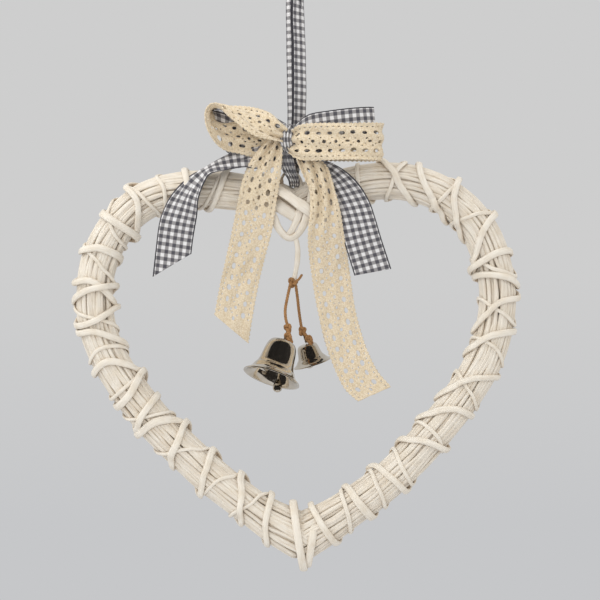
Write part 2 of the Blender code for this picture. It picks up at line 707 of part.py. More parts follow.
def main():
    clear_scene()
    parts = collection(OBJECT_NAME)
    rattan = material("whitewashed rattan", (0.78, 0.72, 0.62), 0.6)
    gingham = material("gingham ribbon", (0.32, 0.31, 0.32), 0.8)
    lace = material("crochet lace", (0.80, 0.70, 0.47), 0.9)
    nickel = material("nickel plate", (0.72, 0.70, 0.66), 0.15, metallic=1.0)
    jute = material("jute twine", (0.28, 0.16, 0.07), 0.9)

    left = Arm(LEFT_ARM, -1)
    right = Arm(RIGHT_ARM, 1)
    for label, arm in (("left", left), ("right", right)):
        bundle(f"rattan_arm_{label}", arm, rattan, parts)
        wind_arm(label, arm, rattan, parts)
    cleft_lashings(rattan, parts)
    tip_lashings(left.points[-1], rattan, parts)

    hanging_loop(gingham, parts)
    ribbon_tie(gingham, parts)
    knot_size = (KNOT_WIDTH, KNOT_DEPTH, KNOT_HEIGHT)
    rounded_block("gingham_knot", knot_centre(), knot_size, gingham, parts)
    bow(gingham, lace, parts)

    rounded_block("twine_knot_top", cleft() + Vector(TOP_KNOT), TOP_KNOT_SIZE, jute, parts)
    twine_run("twine_left", TWINE_LEFT, jute, parts)
    twine_run("twine_right", TWINE_RIGHT, jute, parts)
    low_knot = (LOW_KNOT_SIZE, LOW_KNOT_SIZE, LOW_KNOT_SIZE)
    left_knot = cleft() + Vector(LOW_KNOT_LEFT)
    right_knot = cleft() + Vector(LOW_KNOT_RIGHT)
    rounded_block("twine_knot_left", left_knot, low_knot, jute, parts)
    rounded_block("twine_knot_right", right_knot, low_knot, jute, parts)
    bell("left", left_knot, BELL_MOUTH, BELL_HEIGHT, BELL_AXIS, CLAPPER_AXIS, nickel, parts)
    bell(
        "right", right_knot, SMALL_BELL_MOUTH, SMALL_BELL_HEIGHT, SMALL_BELL_AXIS,
        SMALL_CLAPPER_AXIS, nickel, parts,
    )


main()
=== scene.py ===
"""Dress the rattan heart bell, a whitewashed heart that hangs by its gingham ribbon loop.

Every length is in metres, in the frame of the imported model: +Z is up, +X is to the right and
-Y is towards the viewer. The origin is where a peg bears inside the top of the loop.
"""

from __future__ import annotations

import json
import logging
import math
from collections.abc import Iterable, Sequence
from dataclasses import dataclass, field
from enum import Enum

import bpy
import numpy as np
from mathutils import Matrix, Vector

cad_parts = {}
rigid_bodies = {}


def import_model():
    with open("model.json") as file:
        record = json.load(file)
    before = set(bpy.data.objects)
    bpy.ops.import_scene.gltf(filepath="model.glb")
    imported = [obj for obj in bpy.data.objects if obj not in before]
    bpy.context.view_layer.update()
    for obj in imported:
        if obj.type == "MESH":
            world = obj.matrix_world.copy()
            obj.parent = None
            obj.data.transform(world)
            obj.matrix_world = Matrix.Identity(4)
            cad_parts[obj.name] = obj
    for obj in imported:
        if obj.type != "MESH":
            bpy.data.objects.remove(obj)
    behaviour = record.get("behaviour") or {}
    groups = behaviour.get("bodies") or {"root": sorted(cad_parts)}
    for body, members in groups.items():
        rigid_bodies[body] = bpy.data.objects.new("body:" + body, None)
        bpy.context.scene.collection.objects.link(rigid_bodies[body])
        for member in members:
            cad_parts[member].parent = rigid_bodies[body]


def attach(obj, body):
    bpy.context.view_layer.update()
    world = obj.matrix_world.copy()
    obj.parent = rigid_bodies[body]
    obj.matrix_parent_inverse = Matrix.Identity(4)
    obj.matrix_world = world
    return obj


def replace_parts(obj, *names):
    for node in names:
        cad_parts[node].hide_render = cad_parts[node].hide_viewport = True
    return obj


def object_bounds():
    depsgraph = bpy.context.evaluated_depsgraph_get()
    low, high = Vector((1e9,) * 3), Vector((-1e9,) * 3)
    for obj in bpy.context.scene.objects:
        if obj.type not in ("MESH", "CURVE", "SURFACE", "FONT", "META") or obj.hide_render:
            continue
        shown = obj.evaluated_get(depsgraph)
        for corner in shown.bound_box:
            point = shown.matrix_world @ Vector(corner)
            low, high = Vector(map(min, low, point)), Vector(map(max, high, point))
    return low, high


LOG = logging.getLogger("rattan_heart_bell")
MM = 0.001
STRAND_STEP = 1.1 * MM
Row = tuple[float, ...]
Rows = Sequence[Row]


def clear_startup() -> None:
    """Remove what Blender's startup file holds."""
    for obj in list(bpy.data.objects):
        bpy.data.objects.remove(obj)


clear_startup()
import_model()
CAD_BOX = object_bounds()


# Colour, nodes and materials


def linear(code: str) -> tuple[float, float, float, float]:
    """Turn an sRGB hex value to a linear colour.

    Args:
        code: Six hex digits after a hash sign.

    Returns:
        Red, green, blue and an alpha of one.
    """
    shares = [int(code[i:i + 2], 16) / 255 for i in (1, 3, 5)]
    low, high, offset, power = 12.92, 1.055, 0.055, 2.4
    made = [s / low if s <= 0.04045 else ((s + offset) / high) ** power for s in shares]
    return made[0], made[1], made[2], 1.0


def place(
    tree: bpy.types.NodeTree, kind: str, inputs: dict | None = None, **settings: object
) -> bpy.types.Node:
    """Add a shader node with its settings and links.

    Args:
        tree: The material's or world's node tree.
        kind: The node's type without its ShaderNode prefix.
        inputs: Socket name or number to a value, or to the socket that feeds it.
        settings: The node's own properties.

    Returns:
        The new node.
    """
    made = tree.nodes.new("ShaderNode" + kind)
    for key, value in settings.items():
        setattr(made, key, value)
    for key, value in (inputs or {}).items():
        if isinstance(value, bpy.types.NodeSocket):
            tree.links.new(value, made.inputs[key])
        else:
            made.inputs[key].default_value = value
    return made


@dataclass(frozen=True)
class Finish:
    """What every finish of the object shares: its name and the shader's plain values."""

    name: str
    slot: str
    roughness: float = 0.6
    metallic: float = 0.0
    ior: float = 1.5
    sheen: float = 0.0

    def start(self) -> tuple[bpy.types.Material, bpy.types.NodeTree, bpy.types.Node]:
        """Make the material with its plain values set on the shader.

        Returns:
            The material, its node tree and its Principled shader.
        """
        material = bpy.data.materials.new(self.name)
        material.use_nodes = True
        shader = material.node_tree.nodes["Principled BSDF"]
        shader.inputs["Roughness"].default_value = self.roughness
        shader.inputs["Metallic"].default_value = self.metallic
        shader.inputs["IOR"].default_value = self.ior
        shader.inputs["Sheen Weight"].default_value = self.sheen
        return material, material.node_tree, shader

    def wire(
        self, shader: bpy.types.Node, colour: bpy.types.NodeSocket, bump: bpy.types.Node
    ) -> None:
        """Lead a finish's colour and its fine relief into the shader.

        Args:
            shader: The material's Principled shader.
            colour: The colour's socket.
            bump: The node that raises the relief.
        """
        links = shader.id_data.links
        links.new(colour, shader.inputs["Base Color"])
        links.new(bump.outputs[0], shader.inputs["Normal"])

    def scaled_uv(self, tree: bpy.types.NodeTree, across: float, along: float) -> bpy.types.NodeSocket:
        """Give the surface's own coordinates in units of a pattern's size.

        Args:
            tree: The material's node tree.
            across: The pattern's size across the strip or strand, in metres.
            along: The pattern's size along it, in metres.

        Returns:
            The scaled vector's socket.
        """
        uv = place(tree, "UVMap")
        scale = (1 / across, 1 / along, 1.0)
        return place(tree, "VectorMath", {0: uv.outputs[0], 1: scale}, operation="MULTIPLY").outputs[0]


@dataclass(frozen=True)
class Whitewash(Finish):
    """Split rattan dipped in thin white wash, which leaves fibre lines and bare brown hollows; the brown
    on the sides turned into the bundle is painted shade as well.
    """

    paint: str = "#ECE4D6"
    worn: str = "#E2D6C2"
    # Bare rattan brown, which also serves as the painted shade between the sticks
    bare_and_shade: str = "#BBA58B"
    fibre: float = 0.8 * MM
    fibre_length: float = 16 * MM
    patch: float = 7 * MM
    patch_share: float = 0.75
    fibre_contrast: float = 0.95
    dip: float = 0.44

    def material(self) -> bpy.types.Material:
        """Build the whitewashed rattan.

        Returns:
            The material.
        """
        material, tree, shader = self.start()
        streak = place(tree, "TexNoise", {
            "Vector": self.scaled_uv(tree, self.fibre, self.fibre_length),
            "Scale": 1.0, "Detail": 3.0, "Roughness": 0.55,
        })
        spot = place(tree, "TexCoord")
        patches = place(tree, "TexNoise", {
            "Vector": spot.outputs["Object"], "Scale": 1 / self.patch, "Detail": 2.0,
        })
        wash = place(tree, "Attribute", attribute_name="wash")
        # The wash thins where a fibre stands up, and the per-point cover lowers it on the sides turned
        # into the bundle: bare brown with painted shade between the sticks
        thin = place(tree, "Math", {
            0: streak.outputs[0], 1: -self.fibre_contrast, 2: self.dip,
        }, operation="MULTIPLY_ADD")
        cover_and_shade = place(tree, "Math", {
            0: wash.outputs["Fac"], 1: thin.outputs[0],
        }, operation="ADD", use_clamp=True)
        worn = place(tree, "MapRange", {
            0: patches.outputs[0], 1: 0.40, 2: 0.72, 3: 0.0, 4: self.patch_share,
        })
        lit = place(tree, "Mix", {
            0: worn.outputs[0], 6: linear(self.paint), 7: linear(self.worn),
        }, data_type="RGBA")
        colour = place(tree, "Mix", {
            0: cover_and_shade.outputs[0], 6: linear(self.bare_and_shade), 7: lit.outputs[2],
        }, data_type="RGBA")
        bump = place(tree, "Bump", {
            "Height": streak.outputs[0], "Distance": 0.35 * MM, "Strength": 0.55,
        })
        self.wire(shader, colour.outputs[2], bump)
        return material


@dataclass(frozen=True)
class Gingham(Finish):
    """Plain-woven polyester check with a faint silky sheen: two dark yarns cross near black."""

    check: float = 2.45 * MM
    # The yarns are near 0.2 mm: they are drawn as coarse as the weave needs to show
    thread: float = 0.42 * MM
    width: float = 25 * MM
    selvedge: float = 0.7 * MM
    light: str = "#EDEBE9"
    grey: str = "#9C9998"
    dark: str = "#56545A"
    edge: str = "#403E44"
    thread_high: str = "#FFFFFF"
    thread_low: str = "#D8D8DC"
    weave: float = 0.5

    def band(
        self, tree: bpy.types.NodeTree, axis: bpy.types.NodeSocket, start: float
    ) -> bpy.types.NodeSocket:
        """Give one where the yarns that lie across an axis are dark.

        Args:
            tree: The material's node tree.
            axis: The coordinate in metres.
            start: Where the first dark band begins, in metres.

        Returns:
            The band's socket, soft at its edges by half a thread.
        """
        moved = place(tree, "Math", {0: axis, 1: start}, operation="SUBTRACT")
        wave = place(tree, "Math", {0: moved.outputs[0], 1: self.check}, operation="PINGPONG")
        # Ping-pong turns at each check, so its middle is where the band changes
        soft = self.thread / 2
        middle = self.check / 2
        return place(tree, "MapRange", {
            0: wave.outputs[0], 1: middle - soft, 2: middle + soft, 3: 0.0, 4: 1.0,
        }).outputs[0]

    def material(self) -> bpy.types.Material:
        """Build the check ribbon.

        Returns:
            The material.
        """
        material, tree, shader = self.start()
        uv = place(tree, "UVMap")
        axes = place(tree, "SeparateXYZ", {0: uv.outputs[0]})
        warp = self.band(tree, axes.outputs[0], self.width / 2 - self.check)
        weft = self.band(tree, axes.outputs[1], 0.0)
        both = place(tree, "Math", {0: warp, 1: weft}, operation="ADD")
        half = place(tree, "Math", {0: both.outputs[0], 1: 0.5}, operation="MULTIPLY")
        ramp = place(tree, "ValToRGB", {0: half.outputs[0]})
        ramp.color_ramp.elements[0].color = linear(self.light)
        ramp.color_ramp.elements[1].color = linear(self.dark)
        ramp.color_ramp.elements.new(0.5).color = linear(self.grey)
        from_middle = place(tree, "Math", {0: axes.outputs[0], 1: self.width / 2}, operation="SUBTRACT")
        out = place(tree, "Math", {0: from_middle.outputs[0]}, operation="ABSOLUTE")
        rim = self.width / 2 - self.selvedge
        edge = place(tree, "MapRange", {0: out.outputs[0], 1: rim - 0.2 * MM, 2: rim, 3: 0.0, 4: 1.0})
        colour = place(tree, "Mix", {
            0: edge.outputs[0], 6: ramp.outputs[0], 7: linear(self.edge),
        }, data_type="RGBA")
        threads = place(tree, "TexChecker", {
            "Vector": self.scaled_uv(tree, self.thread, self.thread), "Scale": 1.0,
            "Color1": linear(self.thread_high), "Color2": linear(self.thread_low),
        })
        woven = place(tree, "Mix", {
            0: self.weave, 6: colour.outputs[2], 7: threads.outputs[0],
        }, data_type="RGBA", blend_type="MULTIPLY")
        bump = place(tree, "Bump", {
            "Height": threads.outputs[1], "Distance": 0.08 * MM, "Strength": 0.5,
        })
        self.wire(shader, woven.outputs[2], bump)
        return material


@dataclass(frozen=True)
class CrochetCotton(Finish):
    """Unbleached cotton worked into close stitches: knotted all over, with a soft fuzz and painted shade
    in the hollows between stitches.
    """

    yarn: str = "#E8DAC2"
    # The hollows between stitches are painted darker: painted shade
    hollow: str = "#CDB794"
    shade: str = "#DCCBAB"
    stitch: float = 0.95 * MM
    stain: float = 9 * MM
    stain_share: float = 0.35
    yarn_edge: float = 0.28
    hollow_shade_edge: float = 0.78

    def material(self) -> bpy.types.Material:
        """Build the crochet lace.

        Returns:
            The material.
        """
        material, tree, shader = self.start()
        cells = place(tree, "TexVoronoi", {
            "Vector": self.scaled_uv(tree, self.stitch, self.stitch * 1.15), "Scale": 1.0,
            "Randomness": 0.55,
        })
        # The ramp paints shade into the hollows between stitches
        ramp = place(tree, "ValToRGB", {0: cells.outputs["Distance"]})
        ramp.color_ramp.elements[0].position = self.yarn_edge
        ramp.color_ramp.elements[0].color = linear(self.yarn)
        ramp.color_ramp.elements[1].position = self.hollow_shade_edge
        ramp.color_ramp.elements[1].color = linear(self.hollow)
        spot = place(tree, "TexCoord")
        tone = place(tree, "TexNoise", {
            "Vector": spot.outputs["Object"], "Scale": 1 / self.stain, "Detail": 2.0,
        })
        shade = place(tree, "MapRange", {
            0: tone.outputs[0], 1: 0.3, 2: 0.7, 3: 0.0, 4: self.stain_share,
        })
        colour = place(tree, "Mix", {
            0: shade.outputs[0], 6: ramp.outputs[0], 7: linear(self.shade),
        }, data_type="RGBA")
        bump = place(tree, "Bump", {
            "Height": cells.outputs["Distance"], "Distance": 0.3 * MM, "Strength": 0.5,
        }, invert=True)
        self.wire(shader, colour.outputs[2], bump)
        return material


@dataclass(frozen=True)
class NickelPlate(Finish):
    """Spun steel with a bright nickel plate, a little yellow and faintly brushed round."""

    plate: str = "#D6CEC1"
    tarnish: str = "#B7AC9B"
    tarnish_share: float = 0.7
    # Polishing lines are finer than this, which is as coarse as they need to show
    brush: float = 0.35 * MM
    brush_length: float = 20 * MM
    cloud: float = 12 * MM
    smear: tuple[float, float] = (0.8, 1.7)

    def material(self) -> bpy.types.Material:
        """Build the nickel plate.

        Returns:
            The material.
        """
        material, tree, shader = self.start()
        spot = place(tree, "TexCoord")
        cloud = place(tree, "TexNoise", {
            "Vector": spot.outputs["Object"], "Scale": 1 / self.cloud, "Detail": 3.0,
        })
        tone = place(tree, "MapRange", {
            0: cloud.outputs[0], 1: 0.42, 2: 0.75, 3: 0.0, 4: self.tarnish_share,
        })
        colour = place(tree, "Mix", {
            0: tone.outputs[0], 6: linear(self.plate), 7: linear(self.tarnish),
        }, data_type="RGBA")
        # Handling smears the polish in the same clouds
        clear, smeared = (self.roughness * share for share in self.smear)
        smear = place(tree, "MapRange", {0: cloud.outputs[0], 1: 0.3, 2: 0.8, 3: clear, 4: smeared})
        tree.links.new(smear.outputs[0], shader.inputs["Roughness"])
        lines = place(tree, "TexNoise", {
            "Vector": self.scaled_uv(tree, self.brush_length, self.brush), "Scale": 1.0,
            "Detail": 1.0,
        })
        bump = place(tree, "Bump", {
            "Height": lines.outputs[0], "Distance": 0.01 * MM, "Strength": 0.35,
        })
        self.wire(shader, colour.outputs[2], bump)
        return material


@dataclass(frozen=True)
class JuteYarn(Finish):
    """Raw jute spun into a hairy brown twine."""

    fibre: str = "#B98B5B"
    shade: str = "#6E4A2A"
    # Single fibres are finer than this, which is as coarse as they need to show
    hair: float = 0.22 * MM
    hair_length: float = 3.2 * MM
    shade_edge: float = 0.32
    fibre_edge: float = 0.62

    def material(self) -> bpy.types.Material:
        """Build the jute.

        Returns:
            The material.
        """
        material, tree, shader = self.start()
        hairs = place(tree, "TexNoise", {
            "Vector": self.scaled_uv(tree, self.hair, self.hair_length), "Scale": 1.0,
            "Detail": 3.0, "Roughness": 0.7,
        })
        ramp = place(tree, "ValToRGB", {0: hairs.outputs[0]})
        ramp.color_ramp.elements[0].position = self.shade_edge
        ramp.color_ramp.elements[0].color = linear(self.shade)
        ramp.color_ramp.elements[1].position = self.fibre_edge
        ramp.color_ramp.elements[1].color = linear(self.fibre)
        bump = place(tree, "Bump", {
            "Height": hairs.outputs[0], "Distance": 0.3 * MM, "Strength": 0.8,
        })
        self.wire(shader, ramp.outputs[0], bump)
        return material


class Stock(Enum):
    """The five materials that the object is made of."""

    RATTAN = Whitewash("Rattan, white washed", "rattan", roughness=0.52)
    GINGHAM = Gingham("Polyester gingham, woven", "gingham", roughness=0.72, sheen=0.15)
    LACE = CrochetCotton("Cotton lace, crocheted", "lace", roughness=0.9, sheen=0.25)
    NICKEL = NickelPlate("Nickel plate, polished", "nickel", roughness=0.09, metallic=1.0)
    JUTE = JuteYarn("Jute twine, spun", "jute", roughness=0.9)

    def made(self) -> bpy.types.Material:
        """Give this stock's material, building it the first time."""
        return bpy.data.materials.get(self.value.name) or self.value.material()


# Curves and meshes


def smooth(rows: Rows | np.ndarray, spacing: float) -> np.ndarray:
    """Run a smooth curve through rows and read it at even steps of its length.

    Args:
        rows: Points, whose first three numbers are a place and the rest follow along.
        spacing: The step along the curve, in metres.

    Returns:
        The rows along the curve.
    """
    given = np.asarray(rows, dtype=float)
    fine = 24
    padded = np.vstack([2 * given[0] - given[1], given, 2 * given[-1] - given[-2]])
    at = np.linspace(0, len(given) - 1, (len(given) - 1) * fine + 1)
    start = np.minimum(at.astype(int), len(given) - 2)
    t = (at - start)[:, None]
    p0, p1, p2, p3 = (padded[start + k] for k in range(4))
    ahead, behind = (p2 - p0) / 2, (p3 - p1) / 2
    dense = (
        (2 * t**3 - 3 * t**2 + 1) * p1 + (t**3 - 2 * t**2 + t) * ahead
        + (3 * t**2 - 2 * t**3) * p2 + (t**3 - t**2) * behind
    )
    reach = lengths(dense)
    count = max(3, round(reach[-1] / spacing) + 1)
    want = np.linspace(0, reach[-1], count)
    return np.stack([np.interp(want, reach, column) for column in dense.T], axis=1)


def lengths(points: np.ndarray) -> np.ndarray:
    """Give the distance travelled at each point of a path."""
    steps = np.linalg.norm(np.diff(points[:, :3], axis=0), axis=1)
    return np.concatenate([[0.0], np.cumsum(steps)])


def unit(vectors: np.ndarray) -> np.ndarray:
    """Scale vectors to a length of one."""
    return vectors / np.maximum(np.linalg.norm(vectors, axis=-1, keepdims=True), 1e-12)


def headings(points: np.ndarray) -> np.ndarray:
    """Give the direction of travel at each point of a path."""
    return unit(np.gradient(points[:, :3], axis=0))


def eased(start: float, end: float, at: np.ndarray) -> np.ndarray:
    """Rise smoothly from zero at start to one at end."""
    t = np.clip((at - start) / (end - start), 0.0, 1.0)
    return t * t * (3 - 2 * t)


def wander(draw: np.random.Generator, count: int, knots: int, size: float) -> np.ndarray:
    """Draw a slow random curve.

    Args:
        draw: The seeded generator.
        count: How many values are read from the curve.
        knots: How many random turns it takes.
        size: Its usual distance from zero.

    Returns:
        The values.
    """
    heights = draw.normal(size=knots + 2) * size
    at = np.linspace(0, knots, count)
    low = np.minimum(at.astype(int), knots - 1)
    t = at - low
    t = t * t * (3 - 2 * t)
    return heights[low] * (1 - t) + heights[low + 1] * t


@dataclass
class Shell:
    """Points and faces of a shape, with its surface coordinates and how well its wash covers, which is
    lower on inward sides as painted shade.
    """

    points: np.ndarray
    quads: np.ndarray
    caps: list[np.ndarray] = field(default_factory=list)
    uv: np.ndarray | None = None
    # How well the wash covers each point, lower where it paints shade on inward sides
    wash: np.ndarray | None = None

    @staticmethod
    def joined(shells: Iterable[Shell]) -> Shell:
        """Put several shells into one.

        Args:
            shells: Shells that all have coordinates and wash, or all have none.

        Returns:
            The one shell.
        """
        group = list(shells)
        starts = np.cumsum([0] + [len(s.points) for s in group])
        return Shell(
            np.vstack([s.points for s in group]),
            np.vstack([s.quads + a for s, a in zip(group, starts)]),
            [cap + a for s, a in zip(group, starts) for cap in s.caps],
            np.vstack([s.uv for s in group]) if group[0].uv is not None else None,
            np.concatenate([s.wash for s in group]) if group[0].wash is not None else None,
        )

    def trimmed(self) -> Shell:
        """Drop the points that no face uses.

        Returns:
            The smaller shell.
        """
        used = np.unique(self.quads)
        renumber = np.zeros(len(self.points), dtype=np.int64)
        renumber[used] = np.arange(len(used))
        return Shell(self.points[used], renumber[self.quads], [], self.uv[used])

    def piece(self, name: str, stock: Stock) -> bpy.types.Object:
        """Make the shell a piece of the object.

        Args:
            name: The piece's name.
            stock: What it is made of.

        Returns:
            The piece, which rides on the object's one body.
        """
        mesh = bpy.data.meshes.new(name)
        corners = np.concatenate([self.quads.ravel()] + self.caps).astype(np.int32)
        sizes = np.array([4] * len(self.quads) + [len(cap) for cap in self.caps], dtype=np.int32)
        mesh.vertices.add(len(self.points))
        mesh.vertices.foreach_set("co", self.points.astype(np.float32).ravel())
        mesh.loops.add(len(corners))
        mesh.loops.foreach_set("vertex_index", corners)
        mesh.polygons.add(len(sizes))
        starts = np.concatenate([[0], np.cumsum(sizes)[:-1]]).astype(np.int32)
        mesh.polygons.foreach_set("loop_start", starts)
        mesh.update(calc_edges=True)
        if self.uv is not None:
            layer = mesh.uv_layers.new(name="UVMap")
            layer.data.foreach_set("uv", self.uv[corners].astype(np.float32).ravel())
        # The wash cover goes to the material with its painted shade on inward sides
        if self.wash is not None:
            cover_and_shade = mesh.attributes.new("wash", "FLOAT", "POINT")
            cover_and_shade.data.foreach_set("value", self.wash.astype(np.float32))
        mesh.validate()
        mesh.shade_smooth()
        mesh.materials.append(stock.made())
        piece = bpy.data.objects.new(name, mesh)
        bpy.context.scene.collection.objects.link(piece)
        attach(piece, "root")
        LOG.info("%s: %d points, %s", name, len(self.points), stock.value.name)
        return piece


def ring_quads(rings: int, size: int, closed: bool = False) -> np.ndarray:
    """Give the quads between rings of equally many points.

    Args:
        rings: How many rings there are.
        size: How many points each ring has.
        closed: Whether the last ring meets the first.

    Returns:
        Four point numbers for each quad.
    """
    i = np.arange(rings if closed else rings - 1)[:, None]
    j = np.arange(size)[None, :]
    k = (j + 1) % size
    a, b = i * size, ((i + 1) % rings) * size
    return np.stack([a + j, a + k, b + k, b + j], axis=-1).reshape(-1, 4)


def swept(
    path: np.ndarray, outward: np.ndarray, width: np.ndarray | float, depth: np.ndarray | float,
    sides: int = 10, square: float = 1.0, hollow: float = 0.25, closed: bool = False,
) -> Shell:
    """Sweep a rounded flat section along a path.

    Args:
        path: The section's middle at each step.
        outward: The way the section's broad side faces at each step.
        width: The section's width, one value or one a step.
        depth: The section's depth, one value or one a step.
        sides: How many points go round the section.
        square: How far the section fills its corners: 1 is an ellipse and less is squarer.
        hollow: How well the wash covers the underside, which paints shade there.
        closed: Whether the path meets its own start.

    Returns:
        The shell, with rounded ends unless it is closed.
    """
    if closed:
        ahead = unit(np.roll(path, -1, axis=0) - np.roll(path, 1, axis=0))
    else:
        ahead = headings(path)
    side = unit(np.cross(ahead, outward))
    out = np.cross(side, ahead)
    count = len(path)
    half_width = np.broadcast_to(width, (count,)) / 2
    half_depth = np.broadcast_to(depth, (count,)) / 2
    centre = path
    if not closed:
        # Three shrinking rings round each end off
        shrink = np.array([0.35, 0.78, 0.95])
        push = np.array([0.0, 0.62, 0.9])
        reach = half_depth[0], half_depth[-1]
        first = path[0] - ahead[0] * (reach[0] * (1 - push))[:, None]
        last = (path[-1] + ahead[-1] * (reach[1] * (1 - push))[:, None])[::-1]
        centre = np.vstack([first, path, last])
        grow = np.concatenate([shrink, np.ones(count), shrink[::-1]])
        pick = np.concatenate([[0] * 3, np.arange(count), [count - 1] * 3]).astype(int)
        side, out = side[pick], out[pick]
        half_width, half_depth = half_width[pick] * grow, half_depth[pick] * grow
    turn = np.arange(sides) * math.tau / sides
    across = np.sign(np.cos(turn)) * np.abs(np.cos(turn)) ** square
    up = np.sign(np.sin(turn)) * np.abs(np.sin(turn)) ** square
    points = (
        centre[:, None]
        + side[:, None] * (half_width[:, None] * across)[..., None]
        + out[:, None] * (half_depth[:, None] * up)[..., None]
    )
    rings = len(centre)
    along = lengths(centre)
    girth = math.pi * (half_width + half_depth)
    uv = np.stack([
        np.broadcast_to(np.arange(sides) / sides, (rings, sides)) * girth[:, None],
        np.broadcast_to(along[:, None], (rings, sides)),
    ], axis=-1)
    # The wash is full on the upper side and thins towards the underside, which paints shade where the
    # section faces into the bundle
    cover_and_shade = hollow + (1 - hollow) * eased(-0.55, 0.35, up)
    caps = []
    if not closed:
        caps = [np.arange(sides)[::-1], (rings - 1) * sides + np.arange(sides)]
    return Shell(
        points.reshape(-1, 3), ring_quads(rings, sides, closed), caps, uv.reshape(-1, 2),
        np.broadcast_to(cover_and_shade, (rings, sides)).ravel(),
    )


def upright(points: np.ndarray) -> np.ndarray:
    """Face every step of a path towards the viewer."""
    return np.broadcast_to(np.array([0.0, -1.0, 0.0]), points.shape)


# The heart


@dataclass
class HeartMould:
    """The sizes and places that both arms of the heart share."""

    width: float = 300 * MM
    cleft: tuple[float, float, float] = (-1.7 * MM, 0.0, -178 * MM)
    bundle_radius: float = 12.6 * MM

    def from_cleft(self, rows: Rows) -> np.ndarray:
        """Move rows that are given from the middle of the cleft into the object's frame."""
        return np.asarray(rows) + np.array(self.cleft)


class Side(Enum):
    """The two arms of the heart, as seen by the viewer."""

    LEFT = -1
    RIGHT = 1

    @property
    def label(self) -> str:
        """The word in a piece's name."""
        return self.name.lower()


